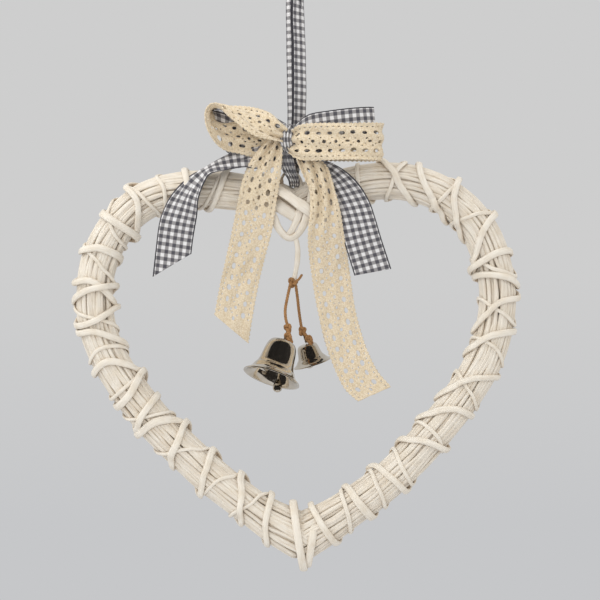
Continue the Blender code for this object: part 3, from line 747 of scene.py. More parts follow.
@dataclass
class HeartArm:
    """One half of the heart: a bundle of rattan sticks and the strands wound round it.

    The route is in shares of the heart's width from the cleft. A turn names where the strand
    crosses the arm's outer edge, its front and its inner edge, in millimetres along.
    """

    mould: HeartMould
    side: Side
    route: Rows
    thick_turns: Rows
    thin_turns: Rows
    seed: int
    # Each ring of sticks: how many, its share of the bundle's radius and how well the wash covers it,
    # less on the inner ring as painted shade between the sticks
    rings: tuple[tuple[int, float, float], ...] = ((34, 1.0, 1.0), (26, 0.84, 0.9))
    stick_radius: float = 1.4 * MM
    stick_step: float = 2.6 * MM
    thick: tuple[float, float] = (4.6 * MM, 2.8 * MM)
    thin: tuple[float, float] = (2.7 * MM, 1.8 * MM)
    slack: float = 0.6 * MM
    sink: float = 0.6 * MM
    cleft_rise: float = 4.6 * MM
    cleft_share: float = 0.76
    tip_share: float = 1.26
    blend: float = 45 * MM
    overlap: float = 5 * MM
    quarter_turn: float = 6 * MM
    # How the sticks differ: the range of a random share
    first_end: tuple[float, float] = (0.2, 1.0)
    last_end: tuple[float, float] = (0.1, 0.9)
    place: tuple[float, float] = (-0.22, 0.22)
    size: tuple[float, float] = (0.86, 1.12)
    dipped: tuple[float, float] = (0.86, 1.0)
    stick_shape: tuple[float, float] = (1.06, 0.9)
    # How they wander: the turns of a slow random curve and its size
    long_sway: tuple[int, float] = (11, 0.06)
    short_sway: tuple[int, float] = (30, 0.025)
    lift: tuple[int, float] = (16, 0.25 * MM)
    swell: tuple[int, float] = (20, 0.07)
    # Two strands are near between these distances, and the later one rises by a share of depth
    near_own: tuple[float, float] = (1.5 * MM, 5.0 * MM)
    near_thin: tuple[float, float] = (1.2 * MM, 5.2 * MM)
    rise_own: float = 0.8
    rise_thin: float = 0.75
    own_steps: int = 12

    def __post_init__(self) -> None:
        """Run the centre line, a little past both its ends."""
        rows = np.array([(x, 0.0, z) for x, z in self.route]) * self.mould.width
        line = smooth(rows + np.array(self.mould.cleft), 1.5 * MM)
        ahead = headings(line)
        self.length = float(lengths(line)[-1])
        past = 2 * self.overlap
        self.line = np.vstack([line[0] - ahead[0] * past, line, line[-1] + ahead[-1] * past])
        self.marks = lengths(self.line) - past

    def frames(self, distance: np.ndarray) -> tuple[np.ndarray, np.ndarray]:
        """Give the centre line and the way to the heart's inner side.

        Args:
            distance: Distances along the arm from the cleft, in metres.

        Returns:
            The centres and the inward unit vectors.
        """
        centre = np.stack([np.interp(distance, self.marks, c) for c in self.line.T], axis=1)
        ahead = headings(self.line)
        turn = unit(np.stack([np.interp(distance, self.marks, c) for c in ahead.T], axis=1))
        inner = np.stack([turn[:, 2], np.zeros(len(turn)), -turn[:, 0]], axis=1) * self.side.value
        rise = self.cleft_rise * (1 - eased(0.0, self.blend, distance))
        return centre + np.array([0.0, 0.0, 1.0]) * rise[:, None], inner

    def fullness(self, distance: np.ndarray) -> np.ndarray:
        """Give the bundle's share of its usual thickness: less at the cleft, more at the tip.

        Args:
            distance: Distances along the arm from the cleft, in metres.

        Returns:
            The shares.
        """
        past_cleft = eased(4 * MM, 44 * MM, distance)
        before_tip = eased(0.0, self.blend, self.length - distance)
        at_cleft = self.cleft_share + (1 - self.cleft_share) * past_cleft
        return at_cleft * (self.tip_share + (1 - self.tip_share) * before_tip)

    def round_at(
        self, distance: np.ndarray, angle: np.ndarray, radius: np.ndarray
    ) -> tuple[np.ndarray, np.ndarray]:
        """Find points round the arm.

        Args:
            distance: How far along the arm, in metres.
            angle: The turn from the inner side towards the viewer, in radians.
            radius: How far from the centre line, in metres.

        Returns:
            The points and their outward unit vectors.
        """
        centre, inner = self.frames(distance)
        front = np.array([0.0, -1.0, 0.0])
        out = inner * np.cos(angle)[:, None] + front * np.sin(angle)[:, None]
        return centre + out * np.asarray(radius)[:, None], out

    def sticks(self) -> Shell:
        """Lay the bundle: a ring of sticks over an inner ring, each wandering by itself.

        Returns:
            All the sticks.
        """
        draw = np.random.default_rng(self.seed)
        shells = []
        ring = self.mould.bundle_radius - self.stick_radius
        for count, share, cover_and_shade in self.rings:
            for j in range(count):
                start = -self.overlap * draw.uniform(*self.first_end)
                end = self.length + self.overlap * draw.uniform(*self.last_end)
                steps = round((end - start) / self.stick_step)
                distance = np.linspace(start, end, steps)
                base = math.tau * (j + draw.uniform(*self.place)) / count
                sway = wander(draw, steps, *self.long_sway)
                angle = base + sway + wander(draw, steps, *self.short_sway)
                radius = ring * share * self.fullness(distance)
                radius = radius + wander(draw, steps, *self.lift)
                path, out = self.round_at(distance, angle, radius)
                size = self.stick_radius * draw.uniform(*self.size)
                body = size * (1 + wander(draw, steps, *self.swell)) * 2
                width, depth = (body * part for part in self.stick_shape)
                shell = swept(path, out, width, depth, sides=8, square=0.9, hollow=0.62)
                # The inner ring's thinner cover paints shade between the sticks
                shell.wash = shell.wash * cover_and_shade * draw.uniform(*self.dipped)
                shells.append(shell)
        return Shell.joined(shells)

    def wound(self, turns: Rows, depth: float, seed: int) -> tuple[np.ndarray, np.ndarray]:
        """Follow a strand round the arm, over the front from outer to inner edge and back behind.

        Args:
            turns: Where each turn crosses the outer edge, the middle and the inner edge, in
                millimetres along the arm.
            depth: The strand's depth, in metres.
            seed: The start of its random wander.

        Returns:
            The strand's middle and the way it faces, lifted where it crosses an earlier turn.
        """
        draw = np.random.default_rng(self.seed * 100 + seed)
        knots, quarters = [], []
        for i, (outer, middle, inner) in enumerate(turns):
            if i:
                knots.append((knots[-1] + outer) / 2)
                quarters.append(4 * i - 1)
            knots += [outer, middle, inner]
            quarters += [4 * i, 4 * i + 1, 4 * i + 2]
        spots = [(k * MM, q * self.quarter_turn, 0.0) for k, q in zip(knots, quarters)]
        run = smooth(spots, STRAND_STEP)
        count = len(run)
        distance = run[:, 0] + wander(draw, count, 2 * len(knots), 0.5 * MM)
        angle = math.pi - run[:, 1] / self.quarter_turn * math.pi / 2
        hug = self.mould.bundle_radius * self.fullness(distance) + depth / 2 - self.sink
        edge = np.abs(np.cos(angle)) ** 3
        radius = hug + self.slack * edge + wander(draw, count, 2 * len(knots), 0.25 * MM)
        path, out = self.round_at(distance, angle, radius)
        # A turn rises over an earlier one that it meets, but not over its own last few steps
        apart = np.linalg.norm(path[:, None] - path[None], axis=2)
        number = np.arange(count)
        apart[number[None] > number[:, None] - self.own_steps] = 1.0
        over = 1 - eased(*self.near_own, apart.min(axis=1))
        return path + out * (over * depth * self.rise_own)[:, None], out

    def strands(self) -> tuple[Shell, Shell]:
        """Wind the thin strand, then the thick one over it where they cross.

        Returns:
            The thick strand and the thin one.
        """
        thin_path, thin_out = self.wound(self.thin_turns, self.thin[1], 1)
        thick_path, thick_out = self.wound(self.thick_turns, self.thick[1], 2)
        apart = np.linalg.norm(thick_path[:, None] - thin_path[None], axis=2).min(axis=1)
        over = 1 - eased(*self.near_thin, apart)
        thick_path = thick_path + thick_out * (over * self.thin[1] * self.rise_thin)[:, None]
        draw = np.random.default_rng(self.seed * 100 + 3)
        made = []
        for path, out, (width, depth), square in (
            (thick_path, thick_out, self.thick, 0.8), (thin_path, thin_out, self.thin, 0.85),
        ):
            swell = 1 + wander(draw, len(path), len(path) // 12, 0.10)
            made.append(swept(path, out, width * swell, depth * (2 - swell), 12, square, 0.3))
        return made[0], made[1]

    def dress(self) -> None:
        """Build the arm's pieces in place of the plain ones."""
        label = self.side.label
        bundle = self.sticks().piece(f"stick_bundle_{label}", Stock.RATTAN)
        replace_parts(bundle, f"rattan_arm_{label}")
        thick, thin = self.strands()
        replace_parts(thick.piece(f"thick_winding_{label}", Stock.RATTAN), f"thick_strand_{label}")
        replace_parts(thin.piece(f"thin_winding_{label}", Stock.RATTAN), f"thin_strand_{label}")


@dataclass(frozen=True)
class TipTurn:
    """A closed turn round the tip: where it crosses above and below, and how far it reaches."""

    side: Side
    top: float
    low: float
    height: float
    drop: float
    depth: float


@dataclass
class Lashings:
    """The strands that bind the arms at the cleft and at the tip, given from the cleft's middle."""

    mould: HeartMould
    width: float = 5.4 * MM
    depth: float = 3.2 * MM
    cross_width: float = 7.8 * MM
    plate: tuple[float, float] = (8.0 * MM, 2.6 * MM)
    arch: tuple[float, float] = (3.0 * MM, 1.9 * MM)
    bell_strand: tuple[float, float] = (3.4 * MM, 1.8 * MM)
    # The partner's share of the saddle's width and depth
    partner: tuple[float, float] = (0.9, 0.8)
    # The line that the arch faces away from, given from the cleft's middle
    under_arch: tuple[float, float, float] = (0.0, -4 * MM, 10 * MM)

    TIP_TURNS = (
        TipTurn(Side.LEFT, -6.0 * MM, 1.2 * MM, 24.0 * MM, 21.5 * MM, 16.2 * MM),
        TipTurn(Side.RIGHT, 9.5 * MM, 3.8 * MM, 16.0 * MM, 19.0 * MM, 14.6 * MM),
    )
    SADDLE = (
        (-0.0200, 0.0130, 0.0180), (-0.0208, 0.0000, 0.0240), (-0.0202, -0.0115, 0.0170),
        (-0.0176, -0.0146, 0.0060), (-0.0138, -0.0150, -0.0040), (-0.0108, -0.0140, -0.0112),
        (-0.0068, -0.0128, -0.0166), (-0.0022, -0.0122, -0.0190), (0.0028, -0.0132, -0.0160),
        (0.0068, -0.0150, -0.0094), (0.0094, -0.0160, -0.0008), (0.0116, -0.0140, 0.0100),
        (0.0134, 0.0000, 0.0235), (0.0130, 0.0130, 0.0180),
    )
    CROSS = (
        (-0.0165, 0.0000, 0.0215), (-0.0150, -0.0115, 0.0176), (-0.0102, -0.0160, 0.0134),
        (-0.0042, -0.0185, 0.0094), (0.0018, -0.0194, 0.0050), (0.0080, -0.0192, 0.0008),
        (0.0130, -0.0172, -0.0030), (0.0178, -0.0125, -0.0060), (0.0190, 0.0000, -0.0064),
        (0.0165, 0.0095, -0.0020), (0.0080, 0.0145, 0.0036), (-0.0010, 0.0148, 0.0090),
        (-0.0100, 0.0118, 0.0168),
    )
    PLATE = (
        (-0.0165, -0.0040, 0.0092), (-0.0140, -0.0115, 0.0060), (-0.0110, -0.0140, 0.0036),
        (-0.0075, -0.0148, 0.0010), (-0.0035, -0.0148, -0.0016), (0.0005, -0.0142, -0.0044),
        (0.0035, -0.0125, -0.0075),
    )
    PARTNER = (
        (0.0056, -0.0120, 0.0060), (0.0046, -0.0152, 0.0020), (0.0030, -0.0154, -0.0044),
        (-0.0004, -0.0142, -0.0120), (-0.0040, -0.0120, -0.0172), (-0.0074, -0.0096, -0.0176),
    )
    ARCH = (
        (-0.0079, -0.0034, 0.0154), (-0.0084, -0.0042, 0.0200), (-0.0072, -0.0044, 0.0238),
        (-0.0040, -0.0042, 0.0260), (-0.0006, -0.0040, 0.0262), (0.0026, -0.0042, 0.0240),
        (0.0045, -0.0048, 0.0200), (0.0050, -0.0050, 0.0158),
    )
    BELL_STRAND = (
        (0.0008, -0.0122, -0.0178), (0.0020, -0.0112, -0.0222), (0.0026, -0.0098, -0.0275),
        (0.0022, -0.0070, -0.0350), (0.0004, -0.0032, -0.0451), (-0.0002, -0.0026, -0.0490),
    )

    def strand(
        self, rows: Rows, width: float, depth: float, middle: np.ndarray | None = None,
        closed: bool = False,
    ) -> Shell:
        """Sweep one lashing, its broad side facing away from a line along X.

        Args:
            rows: The route from the cleft's middle.
            width: The strand's width.
            depth: The strand's depth.
            middle: A point on the line it faces away from, or the viewer's side if left out.
            closed: Whether the strand meets its own start.

        Returns:
            The strand.
        """
        given = list(rows) + ([rows[0]] if closed else [])
        path = smooth(self.mould.from_cleft(given), STRAND_STEP)
        path = path[:-1] if closed else path
        out = upright(path)
        if middle is not None:
            out = unit((path - middle) * np.array([0.0, 1.0, 1.0]))
        draw = np.random.default_rng(len(path) + round(width / MM * 10))
        swell = 1 + wander(draw, len(path), max(3, len(path) // 7), 0.06)
        if closed:
            swell[-4:] = np.linspace(swell[-4], swell[0], 4)
        return swept(path, out, width * swell, depth, 12, 0.8, 0.15, closed)

    def tip_turn(self, tip: np.ndarray, turn: TipTurn) -> Shell:
        """Wrap one closed turn round the tip.

        Args:
            tip: The end of the arms' centre lines.
            turn: The turn's crossings and reach.

        Returns:
            The strand.
        """
        round_tip = np.linspace(0, math.tau, 56, endpoint=False)
        up = np.cos(round_tip)
        path = tip + np.stack([
            turn.low + (turn.top - turn.low) * (1 + up) / 2,
            -turn.depth * np.sin(round_tip),
            np.where(up > 0, turn.height, turn.drop) * up,
        ], axis=1)
        out = unit((path - tip) * np.array([0.0, 1.0, 1.0]))
        return swept(path, out, self.width, self.depth, 12, 0.8, 0.15, True)

    def dress(self, tip: np.ndarray) -> None:
        """Build the lashings in place of the plain ones.

        Args:
            tip: The end of the arms' centre lines.
        """
        middle = np.array(self.mould.cleft)
        saddle = Shell.joined([
            self.strand(self.SADDLE, self.width, self.depth, middle),
            self.strand(
                self.PARTNER, self.width * self.partner[0], self.depth * self.partner[1], middle
            ),
        ])
        cross = Shell.joined([
            self.strand(self.CROSS, self.cross_width, self.depth, middle, closed=True),
            self.strand(self.PLATE, *self.plate, middle),
        ])
        arch = self.strand(self.ARCH, *self.arch, middle + np.array(self.under_arch))
        drop = self.strand(self.BELL_STRAND, *self.bell_strand)
        pieces = [
            (saddle, "saddle_lashing", "cleft_saddle"),
            (cross, "cross_lashing", "cleft_cross"),
            (arch, "arch_lashing", "cleft_arch"),
            (drop, "bell_tie_strand", "bell_strand"),
        ]
        for turn in self.TIP_TURNS:
            label = turn.side.label
            pieces.append((self.tip_turn(tip, turn), f"tip_binding_{label}", f"tip_lashing_{label}"))
        for shell, name, plain in pieces:
            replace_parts(shell.piece(name, Stock.RATTAN), plain)


# Ribbons


@dataclass
class Strip:
    """A length of ribbon or tape along a route.

    A row holds the centre as x, y and z, the way the width points as its turn from +X in the
    view plane and its tip towards the viewer, in degrees, and the share of the width that is
    left where it is gathered.
    """

    name: str
    replaced: str
    rows: Rows
    anchor: tuple[float, float, float]
    size: float
    width: float
    thick: float
    stock: Stock
    cell: float = 0.9 * MM
    pleats: float = 2.5
    pleat_limit: float = 1.7 * MM
    ripple: float = 0.35 * MM
    cup: float = 0.0
    slant: float = 0.0
    seed: int = 1
    pleat_drift: float = 9 * MM
    long_wave: float = 7.5 * MM
    short_wave: float = 3.9 * MM

    def route(self) -> tuple[np.ndarray, np.ndarray, np.ndarray]:
        """Give the strip's centres, unit width directions and gathered shares.

        Returns:
            The three, at even steps along the strip.
        """
        rows = np.asarray(self.rows, dtype=float)
        centre = rows[:, :3] * self.size + np.array(self.anchor)
        turn, tip = np.radians(rows[:, 3]), np.radians(rows[:, 4])
        way = np.stack([np.cos(tip) * np.cos(turn), -np.sin(tip), np.cos(tip) * np.sin(turn)], axis=1)
        run = smooth(np.hstack([centre, way, rows[:, 5:6]]), self.cell)
        return run[:, :3], unit(run[:, 3:6]), np.clip(run[:, 6], 0.2, 1.25)

    def spread(self, across: np.ndarray, along: np.ndarray) -> tuple[np.ndarray, np.ndarray]:
        """Lay flat places of the strip on its route.

        Args:
            across: Places over the width from its middle, in metres of the flat strip.
            along: Places along the strip, in metres.

        Returns:
            Points in space and the route's facing direction at each.
        """
        centre, way, share = self.route()
        reach = lengths(centre)
        face = unit(np.cross(headings(centre), way))
        columns = np.hstack([centre, way, face, share[:, None]]).T
        spots = [np.interp(along, reach, column) for column in columns]
        middle, side, out = (np.stack(spots[k:k + 3], axis=-1) for k in (0, 3, 6))
        left = spots[9]
        draw = np.random.default_rng(self.seed)
        place_across = across / self.width
        narrow = np.minimum(left, 1.0)
        # The cloth that a gather takes from the width stands up in its pleats
        deep = self.width * narrow / (math.pi * self.pleats) * np.sqrt(np.maximum(1 / narrow - 1, 0))
        deep = np.minimum(deep, self.pleat_limit)
        lean = draw.uniform(0, math.tau)
        fold = np.sin(math.tau * self.pleats * place_across + lean + along / self.pleat_drift)
        # Two crossing ripples keep the cloth from lying quite flat
        waves = self.ripple * (
            np.sin(along / self.long_wave + lean) * np.cos(math.pi * place_across * 1.3 + lean)
            + 0.6 * np.sin(along / self.short_wave + 2.2 * lean + place_across * 4)
        )
        hollow = self.cup * (4 * place_across**2 - 0.5)
        height = deep * fold + waves + hollow
        points = middle + unit(side) * (across * left)[..., None] + unit(out) * height[..., None]
        return points, unit(out)

    def flat_length(self) -> float:
        """Give the length the strip is cut to."""
        return float(lengths(self.route()[0])[-1])

    def grid(self) -> tuple[np.ndarray, np.ndarray, np.ndarray]:
        """Give the flat places of the strip's points and which of its cells are cloth.

        Returns:
            Places across and along, in metres, and one truth for each cell.
        """
        length = self.flat_length()
        columns = round(self.width / self.cell) + 1
        rows = round(length / self.cell) + 1
        across, along = np.meshgrid(
            np.linspace(-self.width / 2, self.width / 2, columns), np.linspace(0, length, rows)
        )
        # The cut takes more from one edge than from the other
        taken = 0.5 - np.sign(self.slant) * across / self.width
        along = along * (1 - abs(self.slant) / length * taken)
        return across, along, np.ones((rows - 1, columns - 1), dtype=bool)

    def raised(self, across: np.ndarray, along: np.ndarray) -> np.ndarray:
        """Give the share of full thickness at each place."""
        return np.ones_like(across)

    def shell(self) -> Shell:
        """Give the strip its thickness, with walls round its edges and holes.

        Returns:
            The shell.
        """
        across, along, keep = self.grid()
        points, _ = self.spread(across, along)
        normal = unit(np.cross(np.gradient(points, axis=0), np.gradient(points, axis=1)))
        half = (self.thick / 2 * self.raised(across, along))[..., None]
        rows, columns = across.shape
        front = points - normal * half
        back = points + normal * half
        number = np.arange(rows * columns).reshape(rows, columns)
        a, b = number[:-1, :-1][keep], number[:-1, 1:][keep]
        c, d = number[1:, 1:][keep], number[1:, :-1][keep]
        total = rows * columns
        quads = [np.stack([a, d, c, b], axis=1), np.stack([a, b, c, d], axis=1) + total]
        padded = np.pad(keep, 1)
        cloth = padded[1:-1, 1:-1]
        for gone, start, end in (
            (~padded[:-2, 1:-1], number[:-1, :-1], number[:-1, 1:]),
            (~padded[2:, 1:-1], number[1:, 1:], number[1:, :-1]),
            (~padded[1:-1, 2:], number[:-1, 1:], number[1:, 1:]),
            (~padded[1:-1, :-2], number[1:, :-1], number[:-1, :-1]),
        ):
            edge = cloth & gone
            p, q = start[edge], end[edge]
            quads.append(np.stack([p, q, q + total, p + total], axis=1))
        flat = np.stack([across + self.width / 2, along], axis=-1).reshape(-1, 2)
        shell = Shell(
            np.vstack([front.reshape(-1, 3), back.reshape(-1, 3)]), np.vstack(quads), [],
            np.vstack([flat, flat]), None,
        )
        return shell.trimmed()

    def dress(self, held: str, rests_on: Sequence[str] = ()) -> bpy.types.Object:
        """Args:
            held: How the cloth is held. Not used.
            rests_on: The names of what it lies on or hangs from. Not used.

        Returns:
            The piece.
        """
        piece = self.shell().piece(self.name, self.stock)
        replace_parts(piece, self.replaced)
        keep = self.grid()[2]
        length = self.flat_length()
        return piece


@dataclass
class LaceStrip(Strip):
    """Crochet tape with rows of worked holes between two pierced borders."""

    cell: float = 0.45 * MM
    repeat: float = 7.6 * MM
    border: float = 3.8 * MM
    scallop: float = 2.9 * MM
    picot: float = 0.3 * MM
    border_inset: float = 2.6 * MM
    border_hole: tuple[float, float] = (0.80 * MM, 0.42 * MM)
    whole_end: float = 1.6 * MM
    stitch: tuple[float, float] = (1.25 * MM, 1.35 * MM)
    cord_at: float = 8.9 * MM
    cord_width: float = 0.5 * MM

    # Holes of one repeat: along and across from the middle, then half sizes, in millimetres
    HOLES = (
        (0.0, 6.3, 1.85, 1.35), (0.0, -6.3, 1.85, 1.35), (3.8, 0.2, 1.35, 1.05),
        (1.5, 2.6, 0.65, 0.50), (5.9, -2.8, 0.70, 0.50), (0.4, -1.2, 0.60, 0.45),
    )

    def holes(self, length: float) -> np.ndarray:
        """List every hole as along, across and its two half sizes, in metres.

        Args:
            length: The tape's length, in metres.

        Returns:
            One row for each hole.
        """
        draw = np.random.default_rng(self.seed + 50)
        made = []
        for i in range(int(length / self.repeat) + 1):
            for along, across, long, wide in self.HOLES:
                slip = draw.uniform(-0.35, 0.35, 2) * MM
                grow = draw.uniform(0.8, 1.2, 2)
                made.append((
                    i * self.repeat + along * MM + slip[0], across * MM + slip[1],
                    long * MM * grow[0], wide * MM * grow[1],
                ))
        rim = self.width / 2 - self.border_inset
        for i in range(int(length / self.border)):
            for across in (rim, -rim):
                made.append(((i + 0.5) * self.border, across, *self.border_hole))
        found = np.array(made)
        at = found[:, 0]
        return found[(at > self.whole_end) & (at < length - self.whole_end)]

    def grid(self) -> tuple[np.ndarray, np.ndarray, np.ndarray]:
        """Cut the holes out of the plain grid and draw its points to their outlines.

        Returns:
            Places across and along, in metres, and one truth for each cell.
        """
        across, along, keep = super().grid()
        length = float(along[-1].min())
        middle_across = (across[:-1, :-1] + across[1:, 1:]) / 2
        middle_along = (along[:-1, :-1] + along[1:, 1:]) / 2
        steps = along[1] - along[0]
        for a, c, long, wide in self.holes(length):
            low = max(0, int((a - long) / steps.max()) - 2)
            high = int((a + long) / steps.min()) + 3
            part = slice(low, high)
            near = ((middle_along[part] - a) / long) ** 2 + ((middle_across[part] - c) / wide) ** 2
            keep[part][near < 1.0] = False
            far_along, far_across = along[part] - a, across[part] - c
            ring = np.sqrt((far_along / long) ** 2 + (far_across / wide) ** 2)
            snap = (ring > 0.45) & (ring < 1 + 0.55 * self.cell / min(long, wide))
            pull = np.where(snap, 1 / np.maximum(ring, 0.2), 1.0)
            along[part] = a + far_along * pull
            across[part] = c + far_across * pull
        edge = eased(self.width / 2 - 1.0 * MM, self.width / 2, np.abs(across))
        across = across + np.sign(across) * edge * self.picot * np.sin(math.tau * along / self.scallop)
        return across, along, keep

    def raised(self, across: np.ndarray, along: np.ndarray) -> np.ndarray:
        """Thicken the borders and work close stitches over the rest.

        Args:
            across: Places over the width from its middle, in metres.
            along: Places along the tape, in metres.

        Returns:
            The share of full thickness at each.
        """
        tall, wide = self.stitch
        stitches = np.sin(math.tau * along / tall) * np.sin(math.tau * across / wide)
        cord = np.exp(-((np.abs(across) - self.cord_at) / self.cord_width) ** 2)
        return 0.9 + 0.22 * stitches + 0.35 * cord


@dataclass
class Bow:
    """The double bow: crochet lace outside, gingham inside, with a tail of each to each side."""

    knot: tuple[float, float, float] = (-5.4 * MM, -17.0 * MM, -131.3 * MM)
    span: float = 118 * MM
    lace_drop: float = 150 * MM
    gingham_drop: float = 88 * MM
    lace_width: float = 26 * MM
    lace_thick: float = 0.95 * MM
    gingham_width: float = 25 * MM
    gingham_thick: float = 0.45 * MM
    # Half the knot's width, height and depth, and the ribbon's run round it
    knot_half: tuple[float, float, float] = (5.0 * MM, 9.4 * MM, 8.6 * MM)
    knot_run: float = 46 * MM
    knot_bend: float = 3.0 * MM
    knot_pleat: float = 0.75 * MM

    LACE_LOOP_RIGHT = (
        (0.000, -0.030, -0.025, 90, 0, 0.45), (0.035, -0.055, -0.027, 90, 0, 0.74),
        (0.092, -0.093, -0.024, 90, 0, 0.92), (0.236, -0.119, -0.023, 90, 0, 0.93),
        (0.379, -0.119, -0.021, 90, 0, 0.93), (0.483, -0.097, -0.020, 90, 0, 0.94),
        (0.529, -0.042, -0.018, 90, 0, 0.95), (0.489, 0.021, -0.015, 90, 0, 0.96),
        (0.379, 0.055, -0.012, 90, 0, 0.96), (0.236, 0.068, -0.010, 90, 0, 0.96),
        (0.092, 0.059, -0.014, 90, 0, 0.92), (0.020, 0.035, -0.020, 90, 0, 0.60),
    )
    GINGHAM_LOOP_RIGHT = (
        (0.020, -0.020, -0.004, 90, 0, 0.55), (0.060, -0.038, 0.012, 94, 0, 0.80),
        (0.132, -0.059, 0.032, 97, 0, 1.00), (0.247, -0.085, 0.050, 97, 0, 1.00),
        (0.368, -0.085, 0.064, 95, 0, 1.00), (0.448, -0.064, 0.072, 95, 0, 1.00),
        (0.491, -0.025, 0.075, 95, 0, 1.00), (0.448, 0.017, 0.072, 95, 0, 1.00),
        (0.368, 0.030, 0.064, 95, 0, 1.00), (0.247, 0.038, 0.050, 97, 0, 1.00),
        (0.132, 0.030, 0.032, 97, 0, 1.00), (0.030, 0.021, 0.000, 90, 0, 0.60),
    )
    LACE_LOOP_LEFT = (
        (0.000, 0.010, -0.020, 90, 0, 0.35), (-0.052, 0.018, -0.024, 90, 0, 0.55),
        (-0.155, 0.018, -0.010, 85, 0, 0.85), (-0.255, 0.008, 0.012, 80, -10, 0.90),
        (-0.330, -0.004, 0.022, 78, -25, 0.92), (-0.385, -0.010, 0.045, 72, -45, 0.92),
        (-0.428, -0.010, 0.090, 60, -64, 0.90), (-0.446, -0.004, 0.135, 56, -76, 0.86),
        (-0.444, 0.004, 0.172, 62, -83, 0.82), (-0.416, 0.004, 0.192, 78, -87, 0.80),
        (-0.372, -0.004, 0.186, 78, -83, 0.82), (-0.322, -0.018, 0.162, 70, -69, 0.88),
        (-0.244, -0.040, 0.128, 64, -53, 0.94), (-0.149, -0.066, 0.080, 60, -38, 0.90),
        (-0.075, -0.072, 0.042, 62, -20, 0.60), (-0.018, -0.052, 0.022, 72, -5, 0.40),
    )
    GINGHAM_LOOP_LEFT = (
        (-0.010, 0.045, -0.030, 90, 0, 0.35), (-0.060, 0.048, -0.035, 90, 0, 0.50),
        (-0.155, 0.050, -0.029, 85, 0, 0.85), (-0.250, 0.045, 0.002, 82, 5, 1.00),
        (-0.330, 0.045, 0.032, 84, 6, 1.00), (-0.396, 0.070, 0.074, 104, 0, 0.96),
        (-0.402, 0.108, 0.092, 106, -6, 0.94), (-0.345, 0.128, 0.086, 100, -8, 0.96),
        (-0.250, 0.126, 0.088, 102, -5, 0.98), (-0.184, 0.116, 0.098, 108, 0, 0.98),
        (-0.109, 0.100, 0.092, 112, 0, 0.80), (-0.052, 0.080, 0.070, 104, 0, 0.55),
        (-0.010, 0.060, 0.050, 95, 0, 0.40),
    )
    LACE_TAIL_LEFT = (
        (-0.012, 0.000, 0.030, 10, 0, 0.40), (-0.058, -0.016, 0.000, 4, 0, 0.46),
        (-0.092, -0.027, -0.081, 0, 0, 0.75), (-0.117, -0.030, -0.171, -3, 0, 0.93),
        (-0.135, -0.027, -0.262, -8, 0, 0.97), (-0.158, 0.000, -0.388, -12, 0, 1.00),
        (-0.199, 0.040, -0.555, -15, 0, 0.96), (-0.230, 0.060, -0.695, -18, 0, 0.98),
        (-0.262, 0.073, -0.880, -19, 0, 1.00),
    )
    LACE_TAIL_RIGHT = (
        (0.020, -0.006, -0.030, -12, 0, 0.34), (0.074, -0.016, -0.070, -6, 0, 0.56),
        (0.108, -0.028, -0.118, 0, 0, 0.70), (0.134, -0.036, -0.180, 2, 0, 0.66),
        (0.150, -0.036, -0.230, 4, 0, 0.64), (0.162, -0.032, -0.310, 6, 0, 0.74),
        (0.166, -0.010, -0.420, 8, 0, 0.92), (0.184, 0.040, -0.560, 11, 0, 0.98),
        (0.210, 0.073, -0.727, 14, 0, 0.96), (0.239, 0.080, -0.857, 17, 0, 0.96),
        (0.275, 0.080, -0.966, 22, 0, 0.96), (0.325, 0.073, -1.070, 28, 0, 0.96),
        (0.386, 0.060, -1.135, 24, 0, 0.94),
    )
    GINGHAM_TAIL_LEFT = (
        (-0.030, 0.026, -0.060, 84, 0, 0.36), (-0.100, 0.024, -0.088, 88, 0, 0.55),
        (-0.235, 0.005, -0.118, 92, -14, 0.78), (-0.335, -0.008, -0.142, 97, -40, 0.76),
        (-0.488, -0.017, -0.182, 108, -64, 0.76), (-0.602, -0.022, -0.228, 118, -72, 0.80),
        (-0.672, -0.028, -0.286, 134, -58, 0.82), (-0.726, -0.032, -0.360, 150, -44, 0.84),
        (-0.774, -0.034, -0.445, 160, -30, 0.88), (-0.812, -0.032, -0.550, 166, -12, 0.92),
        (-0.842, -0.026, -0.660, 170, -2, 0.96), (-0.868, -0.012, -0.838, 171, 0, 0.96),
        (-0.892, 0.000, -1.060, 172, 0, 0.96),
    )
    GINGHAM_TAIL_RIGHT = (
        (0.030, 0.028, -0.120, 78, 0, 0.30), (0.105, 0.028, -0.158, 72, 0, 0.32),
        (0.200, 0.020, -0.190, 60, 0, 0.38), (0.300, 0.000, -0.246, 40, 0, 0.58),
        (0.400, -0.017, -0.354, 20, 0, 0.84), (0.477, -0.023, -0.485, 12, 0, 0.94),
        (0.523, -0.017, -0.615, 8, 0, 0.96), (0.562, 0.011, -0.754, 14, 0, 0.98),
        (0.646, 0.057, -1.015, 15, 0, 1.00),
    )

    def lace(
        self, name: str, rows: Rows, size: float, held: str, seed: int, slant: float = 0.0
    ) -> None:
        """Lay one length of lace in place of the solid of the same name.

        Args:
            name: The length's name.
            rows: Its route from the knot.
            size: What its route is given as shares of, in metres.
            held: How the cloth is held.
            seed: The start of its random folds.
            slant: How far its cut end slants, in metres.
        """
        LaceStrip(
            f"crochet_{name}", name, rows, self.knot, size, self.lace_width, self.lace_thick,
            Stock.LACE, slant=slant, seed=seed,
        ).dress(held, ["gingham_knot"])

    def gingham(
        self, name: str, rows: Rows, size: float, held: str, seed: int, slant: float = 0.0
    ) -> None:
        """Lay one length of gingham in place of the solid of the same name.

        Args:
            name: The length's name.
            rows: Its route from the knot.
            size: What its route is given as shares of, in metres.
            held: How the cloth is held.
            seed: The start of its random folds.
            slant: How far its cut end slants, in metres.
        """
        Strip(
            f"check_{name}", name, rows, self.knot, size, self.gingham_width, self.gingham_thick,
            Stock.GINGHAM, pleats=3.0, ripple=0.3 * MM, slant=slant, seed=seed,
        ).dress(held, ["gingham_knot"])

